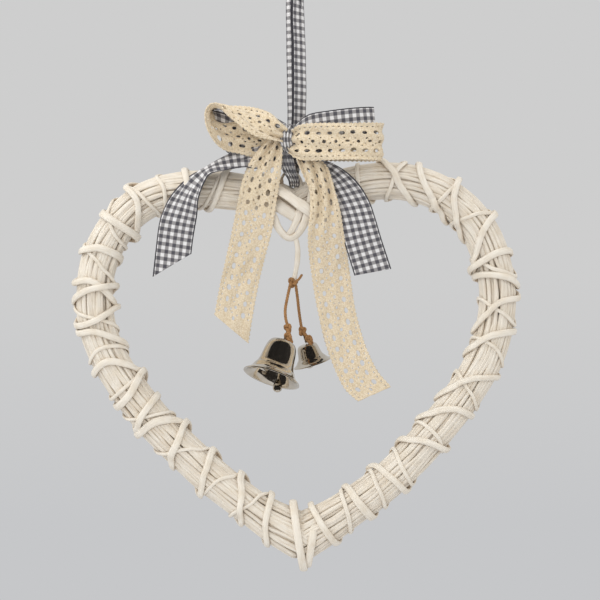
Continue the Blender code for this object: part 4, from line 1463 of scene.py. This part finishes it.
    def knot_band(self) -> Shell:
        """Draw a gathered ribbon round the bow's middle as a plump pleated band.

        Returns:
            The knot's shell.
        """
        half_width, half_height, half_depth = self.knot_half
        turns, across = 72, 49
        turn = np.linspace(0, math.tau, turns, endpoint=False)[:, None]
        place_across = np.linspace(-1, 1, across)[None, :]
        draw = np.random.default_rng(7)
        bend = self.knot_bend * (0.5 - np.sin(turn)) * np.where(np.sin(turn) > 0, 1.0, 0.3)
        plump = np.sqrt(np.maximum(1 - np.abs(place_across) ** 2.6 * 0.94, 0))
        waist = 1 - 0.12 * np.exp(-((turn - math.pi * 1.5) / 0.9) ** 2)
        pleat = self.knot_pleat * np.sin(
            place_across * 12 + 1.3 * np.sin(turn + 0.7) + draw.uniform(0, 6)
        )
        y = -np.sin(turn) * (half_depth * plump + pleat * plump)
        z = np.cos(turn) * (half_height * plump + pleat * plump)
        x = place_across * half_width * waist + bend
        points = np.stack([x + np.zeros_like(y), y, z], axis=-1) + np.array(self.knot)
        quads = ring_quads(turns, across, True).reshape(turns, across, 4)[:, :-1].reshape(-1, 4)
        uv = np.stack([
            (place_across + 1) / 2 * self.gingham_width + np.zeros_like(turn),
            turn / math.tau * self.knot_run + np.zeros_like(place_across),
        ], axis=-1)
        first = np.arange(turns) * across
        caps = [first, first[::-1] + across - 1]
        return Shell(points.reshape(-1, 3), quads[:, ::-1], caps, uv.reshape(-1, 2), None)

    def dress(self) -> None:
        """Build the bow's pieces in place of the plain ones."""
        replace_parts(self.knot_band().piece("gathered_knot", Stock.GINGHAM), "gingham_knot")
        span, drop, fall = self.span, self.gingham_drop, self.lace_drop
        self.gingham("gingham_loop_right", self.GINGHAM_LOOP_RIGHT, span, "folded", 11)
        self.gingham("gingham_loop_left", self.GINGHAM_LOOP_LEFT, span, "folded", 12)
        self.gingham("gingham_tail_right", self.GINGHAM_TAIL_RIGHT, drop, "hung", 13, 2 * MM)
        self.gingham("gingham_tail_left", self.GINGHAM_TAIL_LEFT, drop, "hung", 14, 19 * MM)
        self.lace("lace_loop_right", self.LACE_LOOP_RIGHT, span, "folded", 21)
        self.lace("lace_loop_left", self.LACE_LOOP_LEFT, span, "folded", 22)
        self.lace("lace_tail_left", self.LACE_TAIL_LEFT, fall, "hung", 23, 11 * MM)
        self.lace("lace_tail_right", self.LACE_TAIL_RIGHT, fall, "hung", 24)


@dataclass
class FoldedStrip(Strip):
    """A ribbon folded lengthwise, so both its faces show the right side of the cloth."""

    fold: float = 0.55 * MM
    fold_edge: float = 0.5 * MM

    def spread(self, across: np.ndarray, along: np.ndarray) -> tuple[np.ndarray, np.ndarray]:
        """Lay the flat ribbon on its route with its second half turned back behind the first.

        Args:
            across: Places over the width from its middle, in metres of the flat ribbon.
            along: Places along the ribbon, in metres.

        Returns:
            Points in space and the route's facing direction at each.
        """
        reach = self.width / 2
        front = across < 0
        inside = np.where(front, across + reach / 2, reach / 2 - across)
        points, out = super().spread(inside, along)
        near_fold = np.exp(-np.abs(across) / self.fold_edge)
        behind = np.where(front, -1.0, 1.0) * self.fold * (1 - near_fold)
        return points + out * behind[..., None], out


@dataclass
class Hanger:
    """The ribbon loop that the heart hangs from and the tie that carries it below the knot."""

    gap: float = 10.5 * MM
    knot_drop: float = 131.3 * MM
    thick: float = 1.5 * MM
    flat_width: float = 25 * MM
    cloth: float = 0.4 * MM

    # x and y as shares of the loop's gap, z as a share of the knot's drop, and the width's turn
    # from +X in the plan view, in degrees
    LOOP = (
        (0.04, -0.46, -1.040, 36), (0.14, -0.50, -0.930, 44), (0.19, -0.53, -0.780, 44),
        (0.17, -0.46, -0.540, 45), (0.08, -0.32, -0.300, 50), (0.30, -0.12, -0.140, 70),
        (0.40, 0.00, -0.050, 86), (0.25, 0.00, -0.012, 90), (0.00, 0.00, 0.000, 90),
        (-0.25, 0.00, -0.012, 90), (-0.40, 0.00, -0.050, 94), (-0.36, 0.10, -0.140, 112),
        (-0.19, 0.15, -0.300, 145), (-0.11, 0.12, -0.540, 158), (-0.05, 0.06, -0.780, 158),
        (-0.04, -0.04, -0.930, 162), (-0.14, -0.13, -1.040, 168),
    )
    # The tie in metres from the cleft's middle, then the share of its width left at each row
    TIE = (
        (-0.0062, -0.0165, 0.0420), (-0.0054, -0.0182, 0.0340), (-0.0030, -0.0168, 0.0262),
        (-0.0002, -0.0130, 0.0208), (0.0004, -0.0070, 0.0170), (0.0000, 0.0000, 0.0166),
        (-0.0005, 0.0050, 0.0192), (-0.0002, 0.0062, 0.0250), (0.0004, 0.0028, 0.0330),
        (0.0012, -0.0022, 0.0402),
    )
    TIE_SHARES = (0.36, 0.42, 0.36, 0.30, 0.26, 0.24, 0.24, 0.28, 0.34, 0.36)

    def loop_rows(self) -> Rows:
        """Give the loop's route in metres, in a strip's own rows.

        Returns:
            The rows.
        """
        top = self.thick / 2
        return [
            (x * self.gap, y * self.gap, top + z * self.knot_drop, turn, 0, 1.0)
            for x, y, z, turn in self.LOOP
        ]

    def dress(self, mould: HeartMould) -> None:
        """Build the loop and the tie in place of the plain ones.

        Args:
            mould: The heart that the tie goes under.
        """
        loop = HangerLoop(
            "folded_hanger", "hanging_loop", self.loop_rows(), (0.0, 0.0, 0.0), 1.0,
            self.flat_width, self.cloth, Stock.GINGHAM, cell=0.8 * MM, ripple=0.12 * MM, seed=31,
        )
        loop.dress("hung")
        rows = [(*row, 0, 0, share) for row, share in zip(self.TIE, self.TIE_SHARES)]
        tie = Strip(
            "gathered_tie", "ribbon_tie", rows, mould.cleft, 1.0, self.flat_width, self.cloth,
            Stock.GINGHAM, cell=0.7 * MM, pleats=4.5, pleat_limit=1.6 * MM, ripple=0.5 * MM, seed=32,
        )
        tie.dress("gathered", ["cleft_arch"])


@dataclass
class HangerLoop(FoldedStrip):
    """The folded loop, whose width turns about the strand's own length."""

    def route(self) -> tuple[np.ndarray, np.ndarray, np.ndarray]:
        """Turn the width in the plan view, from across the loop to along its depth.

        Returns:
            The strip's centres, unit width directions and gathered shares.
        """
        rows = np.asarray(self.rows, dtype=float)
        turn = np.radians(rows[:, 3])
        way = np.stack([np.cos(turn), np.sin(turn), np.zeros(len(turn))], axis=1)
        run = smooth(np.hstack([rows[:, :3], way, rows[:, 5:6]]), self.cell)
        ahead = headings(run[:, :3])
        plain = run[:, 3:6]
        side = unit(plain - ahead * (plain * ahead).sum(axis=1, keepdims=True))
        return run[:, :3], side, run[:, 6]


# Bells and twine


@dataclass
class Bell:
    """A spun bell with its ring and clapper, hung below its twine knot."""

    side: Side
    knot: tuple[float, float, float]
    mouth: float
    height: float
    axis: tuple[float, float, float]
    clapper_axis: tuple[float, float, float]
    wall: float = 0.9 * MM
    ball: float = 6.4 * MM
    # How far the clapper ends below the mouth, as a share of its ball
    ball_drop: float = 1.2
    rod: float = 1.8 * MM
    ring_radius: float = 2.6 * MM
    ring_wire: float = 1.2 * MM
    knot_size: float = 4.6 * MM
    gap: float = 0.3 * MM
    # The least radius of a turned shape, so that its end faces keep an area
    pole: float = 0.05 * MM
    pattern_girth: float = 60 * MM

    # The rolled rim: shares of the wall inwards and down
    RIM = ((0.02, 0.22), (0.25, 0.42), (0.6, 0.42), (0.95, 0.2))
    # Outside from the crown's middle down: shares of the mouth's radius and of the height
    PROFILE = (
        (0.00, 1.00), (0.18, 0.998), (0.31, 0.985), (0.41, 0.955), (0.475, 0.90), (0.52, 0.82),
        (0.555, 0.70), (0.58, 0.56), (0.605, 0.44), (0.64, 0.34), (0.685, 0.28), (0.725, 0.24),
        (0.745, 0.208), (0.79, 0.15), (0.865, 0.085), (0.94, 0.042), (0.985, 0.02), (1.00, 0.00),
    )

    def places(self) -> tuple[Vector, Vector, Vector]:
        """Give the axis down the bell, the ring's middle and the crown's top.

        Returns:
            The three vectors.
        """
        down = Vector(self.axis).normalized()
        half_ring = self.ring_radius + self.ring_wire / 2
        ring = Vector(self.knot) + down * (self.knot_size / 2 + half_ring + self.gap)
        return down, ring, ring + down * (half_ring + self.gap)

    def turned(
        self, profile: np.ndarray, top: Vector, axis: Sequence[float], steps: int = 72
    ) -> Shell:
        """Turn a profile about an axis.

        Args:
            profile: Radius and height of each point, in metres.
            top: Where height zero lies.
            axis: The way down.
            steps: How many points go round.

        Returns:
            The turned shell.
        """
        turn = np.arange(steps) * math.tau / steps
        radius, height = profile[:, :1], profile[:, 1:]
        rings = np.stack([radius * np.cos(turn), radius * np.sin(turn), height + 0 * turn], axis=-1)
        down = Vector(axis).normalized()
        spin = (-down).to_track_quat("Z", "Y").to_matrix()
        points = rings.reshape(-1, 3) @ np.array(spin).T + np.array(top)
        run = lengths(np.hstack([profile, np.zeros((len(profile), 1))]))
        uv = np.stack([
            np.broadcast_to(turn / math.tau * self.pattern_girth, (len(profile), steps)),
            np.broadcast_to(run[:, None], (len(profile), steps)),
        ], axis=-1)
        last = (len(profile) - 1) * steps
        caps = [np.arange(steps)[::-1], last + np.arange(steps)]
        return Shell(points, ring_quads(len(profile), steps), caps, uv.reshape(-1, 2), None)

    def shell(self) -> Shell:
        """Spin the bell: outside, a rolled rim and the inside.

        Returns:
            The shell.
        """
        outer = np.array([(r * self.mouth / 2, z * self.height) for r, z in self.PROFILE])
        rim = np.array([
            (self.mouth / 2 - self.wall * inwards, -self.wall * down) for inwards, down in self.RIM
        ])
        inner = np.array([(max(0.0, r - self.wall), z - self.wall * 0.8) for r, z in outer[-2::-1]])
        outline = np.vstack([outer, rim, inner])
        upright_rows = np.stack([outline[:, 0], np.zeros(len(outline)), outline[:, 1]], axis=1)
        fine = smooth(upright_rows, 0.45 * MM)[:, [0, 2]]
        fine[:, 0] = np.maximum(fine[:, 0], self.pole)
        down, _, crown = self.places()
        return self.turned(fine, crown + down * self.height, self.axis)

    def clapper(self) -> Shell:
        """Turn the clapper: a thin rod that swells into a pear.

        Returns:
            The shell.
        """
        length = self.height - self.wall + self.ball * self.ball_drop
        radius = self.ball / 2
        rod = self.rod / 2
        outline = [
            (self.pole, 0.0), (rod, 0.0), (rod, -length * 0.55),
            (rod + 0.3 * MM, -length + 3.1 * radius),
        ]
        for turn in np.linspace(0.62, math.pi - 0.02, 14):
            stretch = 1.5 if math.cos(turn) > 0 else 1.0
            height = -length + radius + radius * stretch * math.cos(turn)
            outline.append((radius * math.sin(turn), height))
        down, _, crown = self.places()
        inside = crown + down * (self.wall + 2 * self.gap)
        return self.turned(np.array(outline), inside, self.clapper_axis, 36)

    def ring(self) -> Shell:
        """Bend the wire ring that the twine goes through.

        Returns:
            The shell.
        """
        down, middle, _ = self.places()
        depth = Vector((0.0, 1.0, 0.0))
        across = (depth - down * depth.dot(down)).normalized()
        turn = np.linspace(0, math.tau, 40, endpoint=False)[:, None]
        path = np.array(middle) + (np.cos(turn) * across + np.sin(turn) * down) * self.ring_radius
        out = unit(path - np.array(middle))
        return swept(path, out, self.ring_wire, self.ring_wire, 10, closed=True)

    def dress(self) -> None:
        """Build the bell's pieces in place of the plain ones."""
        label = self.side.label
        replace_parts(self.shell().piece(f"spun_bell_{label}", Stock.NICKEL), f"bell_{label}")
        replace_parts(self.clapper().piece(f"clapper_{label}", Stock.NICKEL), f"bell_clapper_{label}")
        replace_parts(self.ring().piece(f"wire_ring_{label}", Stock.NICKEL), f"bell_ring_{label}")


@dataclass(frozen=True)
class KnotForm:
    """How an overhand knot is pulled: its width, its twine, its length to its width, its turn."""

    size: float
    diameter: float
    stretch: float = 1.1
    tilt: float = 0.3


@dataclass
class Twine:
    """The jute twine: one length from bell to bell, knotted round the strand that carries it."""

    mould: HeartMould
    diameter: float = 2.0 * MM
    lay: float = 5.5 * MM
    plies: int = 3
    top_knot: KnotForm = KnotForm(7.4 * MM, 2.3 * MM)
    low_knot: KnotForm = KnotForm(5.8 * MM, 2.3 * MM, stretch=1.5)
    ring_knot: KnotForm = KnotForm(5.3 * MM, 2.2 * MM, stretch=2.5, tilt=-0.47)
    link_share: float = 1.2
    end_share: float = 0.85
    # How far the hollows between the plies lie in, and how far a ply stands out of them
    core: float = 0.80
    ply_rise: float = 0.26
    # The ring knot's place from the middle between the ring and the crown
    knot_slip: tuple[float, float, float] = (2.8 * MM, -3.4 * MM, 0.6 * MM)
    # Keeps the way the twine faces off its own run
    lean: tuple[float, float, float] = (0.31, 0.0, 0.17)
    step: float = 0.5 * MM

    # From the left bell's knot up to the top knot and down to the right bell's knot, in metres
    # from the cleft's middle
    ROUTE = (
        (-0.0040, -0.0082, -0.0785), (-0.0046, -0.0078, -0.0765), (-0.0056, -0.0070, -0.0720),
        (-0.0058, -0.0058, -0.0665), (-0.0046, -0.0045, -0.0595), (-0.0032, -0.0032, -0.0530),
        (-0.0025, -0.0028, -0.0500), (-0.0008, -0.0024, -0.0482), (0.0010, -0.0018, -0.0498),
        (0.0016, -0.0012, -0.0528), (0.0025, 0.0005, -0.0595), (0.0033, 0.0030, -0.0670),
        (0.0042, 0.0050, -0.0735), (0.0050, 0.0060, -0.0785), (0.0055, 0.0065, -0.0806),
    )
    TOP_KNOT = (-0.0008, -0.0025, -0.0484)
    TOP_END = ((0.0010, -0.0040, -0.0480), (0.0034, -0.0050, -0.0462), (0.0052, -0.0052, -0.0436))
    LOW_KNOTS = ((-0.0040, -0.0082, -0.0792), (0.0056, 0.0066, -0.0812))

    def laid(self, path: np.ndarray, diameter: float, closed: bool = False) -> Shell:
        """Twist the plies along a path.

        Args:
            path: The twine's middle.
            diameter: Its diameter over the plies.
            closed: Whether the path meets its own start.

        Returns:
            The twine, its plies showing as a rope's lobes.
        """
        sides = 18
        facing = upright(path) + np.array(self.lean)
        shell = swept(path, facing, diameter, diameter, sides, closed=closed)
        rings = len(shell.points) // sides
        grid = shell.points.reshape(rings, sides, 3)
        middle = grid.mean(axis=1, keepdims=True)
        along = lengths(middle[:, 0])[:, None]
        turns = round(along[-1, 0] / self.lay) if closed else along[-1, 0] / self.lay
        twist = math.tau * turns * along / max(along[-1, 0], 1e-9)
        around = np.arange(sides)[None, :] * math.tau / sides
        lobe = np.abs(np.cos(self.plies / 2 * (around - twist)))
        grid = middle + (grid - middle) * (self.core + self.ply_rise * lobe)[..., None]
        shell.points = grid.reshape(-1, 3)
        # Fibres follow the plies round
        shift = (twist / math.tau * math.pi * diameter + 0 * around).ravel()
        shell.uv = np.stack([shell.uv[:, 0] - shift, shell.uv[:, 1]], axis=1)
        shell.wash = None
        return shell

    def knotted(self, centre: np.ndarray, form: KnotForm, side: Side = Side.RIGHT) -> Shell:
        """Tie a small overhand knot.

        Args:
            centre: The knot's middle.
            form: How it is pulled.
            side: The side that it leans to.

        Returns:
            The knot, a closed run that passes over and under itself.
        """
        t = np.linspace(0, math.tau, 90, endpoint=False)
        x = (np.sin(t) + 2 * np.sin(2 * t)) / 3
        y = -np.sin(3 * t) * 0.55
        z = (np.cos(t) - 2 * np.cos(2 * t)) / 3
        flat = np.stack([x, y, z * form.stretch], axis=1) * (form.size - form.diameter) / 2
        spin = np.array(Matrix.Rotation(form.tilt * side.value, 3, "Y"))
        return self.laid(flat @ spin.T + centre, form.diameter, closed=True)

    def end(self, rows: Rows) -> Shell:
        """Let a short cut end of twine stand out of a knot."""
        path = smooth(self.mould.from_cleft(rows), self.step)
        return self.laid(path, self.diameter * self.end_share)

    def dress(self, bells: Sequence[Bell]) -> None:
        """Build the twine and its knots in place of the plain ones.

        Args:
            bells: The left and the right bell.
        """
        path = smooth(self.mould.from_cleft(self.ROUTE), self.step)
        cord = self.laid(path, self.diameter).piece("jute_twine", Stock.JUTE)
        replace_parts(cord, "twine_left", "twine_right")
        top = self.mould.from_cleft([self.TOP_KNOT])[0]
        tied = Shell.joined([self.knotted(top, self.top_knot), self.end(self.TOP_END)])
        knots = [tied.piece("strand_knot", Stock.JUTE)]
        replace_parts(knots[0], "twine_knot_top")
        for bell, spot in zip(bells, self.LOW_KNOTS):
            middle = self.mould.from_cleft([spot])[0]
            _, ring, crown = bell.places()
            low = (np.array(ring) + np.array(crown)) / 2 + np.array(self.knot_slip)
            link = smooth([middle, (middle + low) / 2, low], self.step)
            shells = [
                self.knotted(middle, self.low_knot, bell.side),
                self.knotted(low, self.ring_knot),
                self.laid(link, self.link_share * self.diameter),
            ]
            label = bell.side.label
            knots.append(Shell.joined(shells).piece(f"bell_knot_{label}", Stock.JUTE))
            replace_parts(knots[-1], f"twine_knot_{label}")


# The room


@dataclass(frozen=True)
class Lamp:
    """A soft lamp that faces the heart.

    Its turn is to the right of the camera and its lift above the heart, both in degrees. Its
    distance and size are in metres and its power is in watts.
    """

    name: str
    turn: float
    lift: float
    far: float
    size: tuple[float, float]
    power: float
    mirrored: bool = False


@dataclass
class Studio:
    """A pale room with soft light and the camera at the photograph's angle."""

    camera_at: tuple[float, float, float] = (2.4 * MM, -1.128, -238.3 * MM)
    aim: tuple[float, float, float] = (0.0, 0.0, -0.25)
    lens: float = 100.0
    sensor: float = 36.0
    high_wall: str = "#CECECE"
    low_wall: str = "#C6C7C9"
    wall_blend: tuple[float, float] = (-0.13, 0.02)
    floor_drop: float = 0.5
    floor_radius: float = 1.9
    flag_radius: float = 0.45
    flag_turns: tuple[float, float] = (-98.0, 96.0)
    flag_lifts: tuple[float, float] = (-56.0, 120.0)
    felt: str = "#120C08"
    floor_paint: str = "#D4D5D8"
    mottle: float = 0.04

    LAMPS = (
        Lamp("key", -72, 38, 1.9, (1.3, 1.3), 14.0),
        Lamp("fill", 76, 12, 1.9, (0.9, 1.4), 7.0),
        Lamp("front", -12, 16, 2.3, (2.4, 1.8), 18.0),
        Lamp("top", 0, 86, 1.6, (1.2, 1.2), 5.0),
        Lamp("glint", -40, -38, 0.9, (0.16, 0.22), 0.5, mirrored=True),
    )

    def camera(self) -> None:
        """Stand the camera in front of the heart, level with its middle."""
        data = bpy.data.cameras.new("camera")
        data.lens = self.lens
        data.sensor_width = self.sensor
        camera = bpy.data.objects.new("camera", data)
        camera.location = self.camera_at
        camera.rotation_euler = (math.radians(90), 0, 0)
        bpy.context.scene.collection.objects.link(camera)
        bpy.context.scene.camera = camera

    def hang(self, lamp: Lamp) -> None:
        """Hang a lamp, which shiny things mirror only where it says so.

        Args:
            lamp: What it is and where it stands.
        """
        data = bpy.data.lights.new(lamp.name, "AREA")
        data.shape = "RECTANGLE"
        data.size, data.size_y = lamp.size
        data.energy = lamp.power
        hung = bpy.data.objects.new(lamp.name, data)
        hung.visible_glossy = lamp.mirrored
        way = self.way(math.radians(lamp.turn), math.radians(lamp.lift))
        hung.location = Vector(self.aim) + way * lamp.far
        hung.rotation_euler = way.to_track_quat("Z", "Y").to_euler()
        bpy.context.scene.collection.objects.link(hung)

    @staticmethod
    def way(turn: float, lift: float) -> Vector:
        """Give the direction from the heart at a turn from the camera and a height, in radians."""
        level = math.cos(lift)
        return Vector((math.sin(turn) * level, -math.cos(turn) * level, math.sin(lift)))

    def surface(self, name: str, colour: str, rough: float) -> bpy.types.Material:
        """Make a plain matt material with a faint mottle.

        Args:
            name: The material's name.
            colour: Its sRGB hex value.
            rough: Its roughness.

        Returns:
            The material.
        """
        material = bpy.data.materials.new(name)
        material.use_nodes = True
        tree = material.node_tree
        spot = place(tree, "TexCoord")
        mottle = place(tree, "TexNoise", {"Vector": spot.outputs["Object"], "Scale": 3.0})
        tone = place(tree, "MapRange", {0: mottle.outputs[0], 3: 0.0, 4: self.mottle})
        mixed = place(tree, "Mix", {
            0: tone.outputs[0], 6: linear(colour), 7: linear("#FFFFFF"),
        }, data_type="RGBA")
        shader = tree.nodes["Principled BSDF"]
        shader.inputs["Roughness"].default_value = rough
        tree.links.new(mixed.outputs[2], shader.inputs["Base Color"])
        return material

    def walls(self) -> None:
        """Surround the heart with a pale wall that darkens a little towards the floor."""
        world = bpy.data.worlds.new("room")
        world.use_nodes = True
        tree = world.node_tree
        spot = place(tree, "TexCoord")
        height = place(tree, "SeparateXYZ", {0: spot.outputs["Generated"]})
        low, high = self.wall_blend
        blend = place(tree, "MapRange", {0: height.outputs[2], 1: low, 2: high})
        mixed = place(tree, "Mix", {
            0: blend.outputs[0], 6: linear(self.low_wall), 7: linear(self.high_wall),
        }, data_type="RGBA")
        tree.links.new(mixed.outputs[2], tree.nodes["Background"].inputs[0])
        bpy.context.scene.world = world

    def flag(self) -> bpy.types.Object:
        """Bend a black flag round the camera: the unlit half of the studio that the bells mirror.

        Returns:
            The flag, hidden from the camera.
        """
        turns = np.radians(np.linspace(*self.flag_turns, 31))
        lifts = np.radians(np.linspace(*self.flag_lifts, 25))
        points = [Vector(self.aim) + self.way(t, e) * self.flag_radius for e in lifts for t in turns]
        row = len(turns)
        faces = [
            (i * row + j, i * row + j + 1, (i + 1) * row + j + 1, (i + 1) * row + j)
            for i in range(len(lifts) - 1) for j in range(row - 1)
        ]
        mesh = bpy.data.meshes.new("black_flag")
        mesh.from_pydata(points, [], faces)
        mesh.materials.append(self.surface("Black felt", self.felt, 1.0))
        flag = bpy.data.objects.new("black_flag", mesh)
        bpy.context.scene.collection.objects.link(flag)
        flag.visible_camera = False
        flag.visible_diffuse = False
        flag.visible_shadow = False
        return flag

    def build(self) -> None:
        """Set the room round the object."""
        bpy.context.scene.view_settings.view_transform = "Standard"
        self.walls()
        bpy.ops.mesh.primitive_circle_add(vertices=96, radius=self.floor_radius, fill_type="NGON")
        floor = bpy.context.object
        floor.name = "floor"
        floor.location = (0, 0, CAD_BOX[0].z - self.floor_drop)
        floor.data.materials.append(self.surface("Painted floor", self.floor_paint, 0.8))
        self.flag()
        for lamp in self.LAMPS:
            self.hang(lamp)
        self.camera()


LEFT_ROUTE = (
    (0.000, 0.000), (-0.063, 0.029), (-0.149, 0.045), (-0.244, 0.047), (-0.334, 0.023),
    (-0.406, -0.045), (-0.445, -0.138), (-0.445, -0.251), (-0.406, -0.352), (-0.325, -0.463),
    (-0.199, -0.587), (-0.072, -0.684), (0.018, -0.736),
)
RIGHT_ROUTE = (
    (0.000, 0.000), (0.063, 0.036), (0.158, 0.063), (0.251, 0.065), (0.339, 0.034),
    (0.415, -0.038), (0.456, -0.149), (0.454, -0.255), (0.418, -0.359), (0.330, -0.483),
    (0.217, -0.603), (0.104, -0.684), (0.018, -0.736),
)
# Outer edge, middle and inner edge of each turn, in millimetres along the arm
LEFT_THICK = (
    (48, 52, 60), (76, 74, 80), (108, 109, 126), (129, 129, 128), (154, 148, 150), (173, 172, 186),
    (184, 176, 172), (197, 198, 189), (201, 205, 221), (229, 226, 244), (254, 253, 244),
    (273, 268, 264), (276, 277, 291), (307, 299, 292), (332, 325, 320), (365, 356, 346), (387, 377, 370),
)
LEFT_THIN = (
    (50, 56, 66), (91, 90, 94), (108, 103, 99), (120, 134, 140), (150, 157, 172), (188, 196, 206),
    (222, 216, 224), (247, 247, 247), (262, 272, 282), (292, 303, 320), (333, 335, 346), (357, 360, 369),
)
RIGHT_THICK = (
    (34, 42, 54), (64, 73, 90), (86, 92, 120), (110, 114, 141), (138, 143, 167), (162, 160, 167),
    (183, 174, 172), (188, 192, 215), (210, 214, 233), (239, 245, 272), (268, 271, 291),
    (295, 300, 312), (332, 334, 340), (359, 361, 363), (389, 391, 390),
)
RIGHT_THIN = (
    (50, 47, 44), (78, 70, 66), (110, 108, 105), (136, 130, 126), (176, 170, 158), (205, 198, 190),
    (232, 222, 221), (262, 256, 250), (298, 293, 295), (326, 324, 319), (349, 346, 343), (378, 372, 366),
)


def main() -> None:
    """Build the room and dress the object, piece by piece."""
    logging.basicConfig(level=logging.INFO, format="%(message)s")
    Studio().build()
    mould = HeartMould()
    left_knot, right_knot = (tuple(spot) for spot in mould.from_cleft(Twine.LOW_KNOTS))
    bells = (
        Bell(
            Side.LEFT, left_knot, mouth=39 * MM, height=27 * MM,
            axis=(-0.30, -0.30, -0.90), clapper_axis=(-0.12, -0.20, -0.97),
        ),
        Bell(
            Side.RIGHT, right_knot, mouth=27 * MM, height=14 * MM,
            axis=(0.30, 0.10, -0.95), clapper_axis=(0.12, 0.04, -0.99), ball_drop=0.4,
        ),
    )
    Twine(mould).dress(bells)
    arms = (
        HeartArm(mould, Side.LEFT, LEFT_ROUTE, LEFT_THICK, LEFT_THIN, seed=5),
        HeartArm(mould, Side.RIGHT, RIGHT_ROUTE, RIGHT_THICK, RIGHT_THIN, seed=8),
    )
    for arm in arms:
        arm.dress()
    x, z = LEFT_ROUTE[-1]
    tip = mould.from_cleft([(x * mould.width, 0.0, z * mould.width)])[0]
    Lashings(mould).dress(tip)
    Bow().dress()
    Hanger().dress(mould)
    for bell in bells:
        bell.dress()


if __name__ == "__main__":
    main()
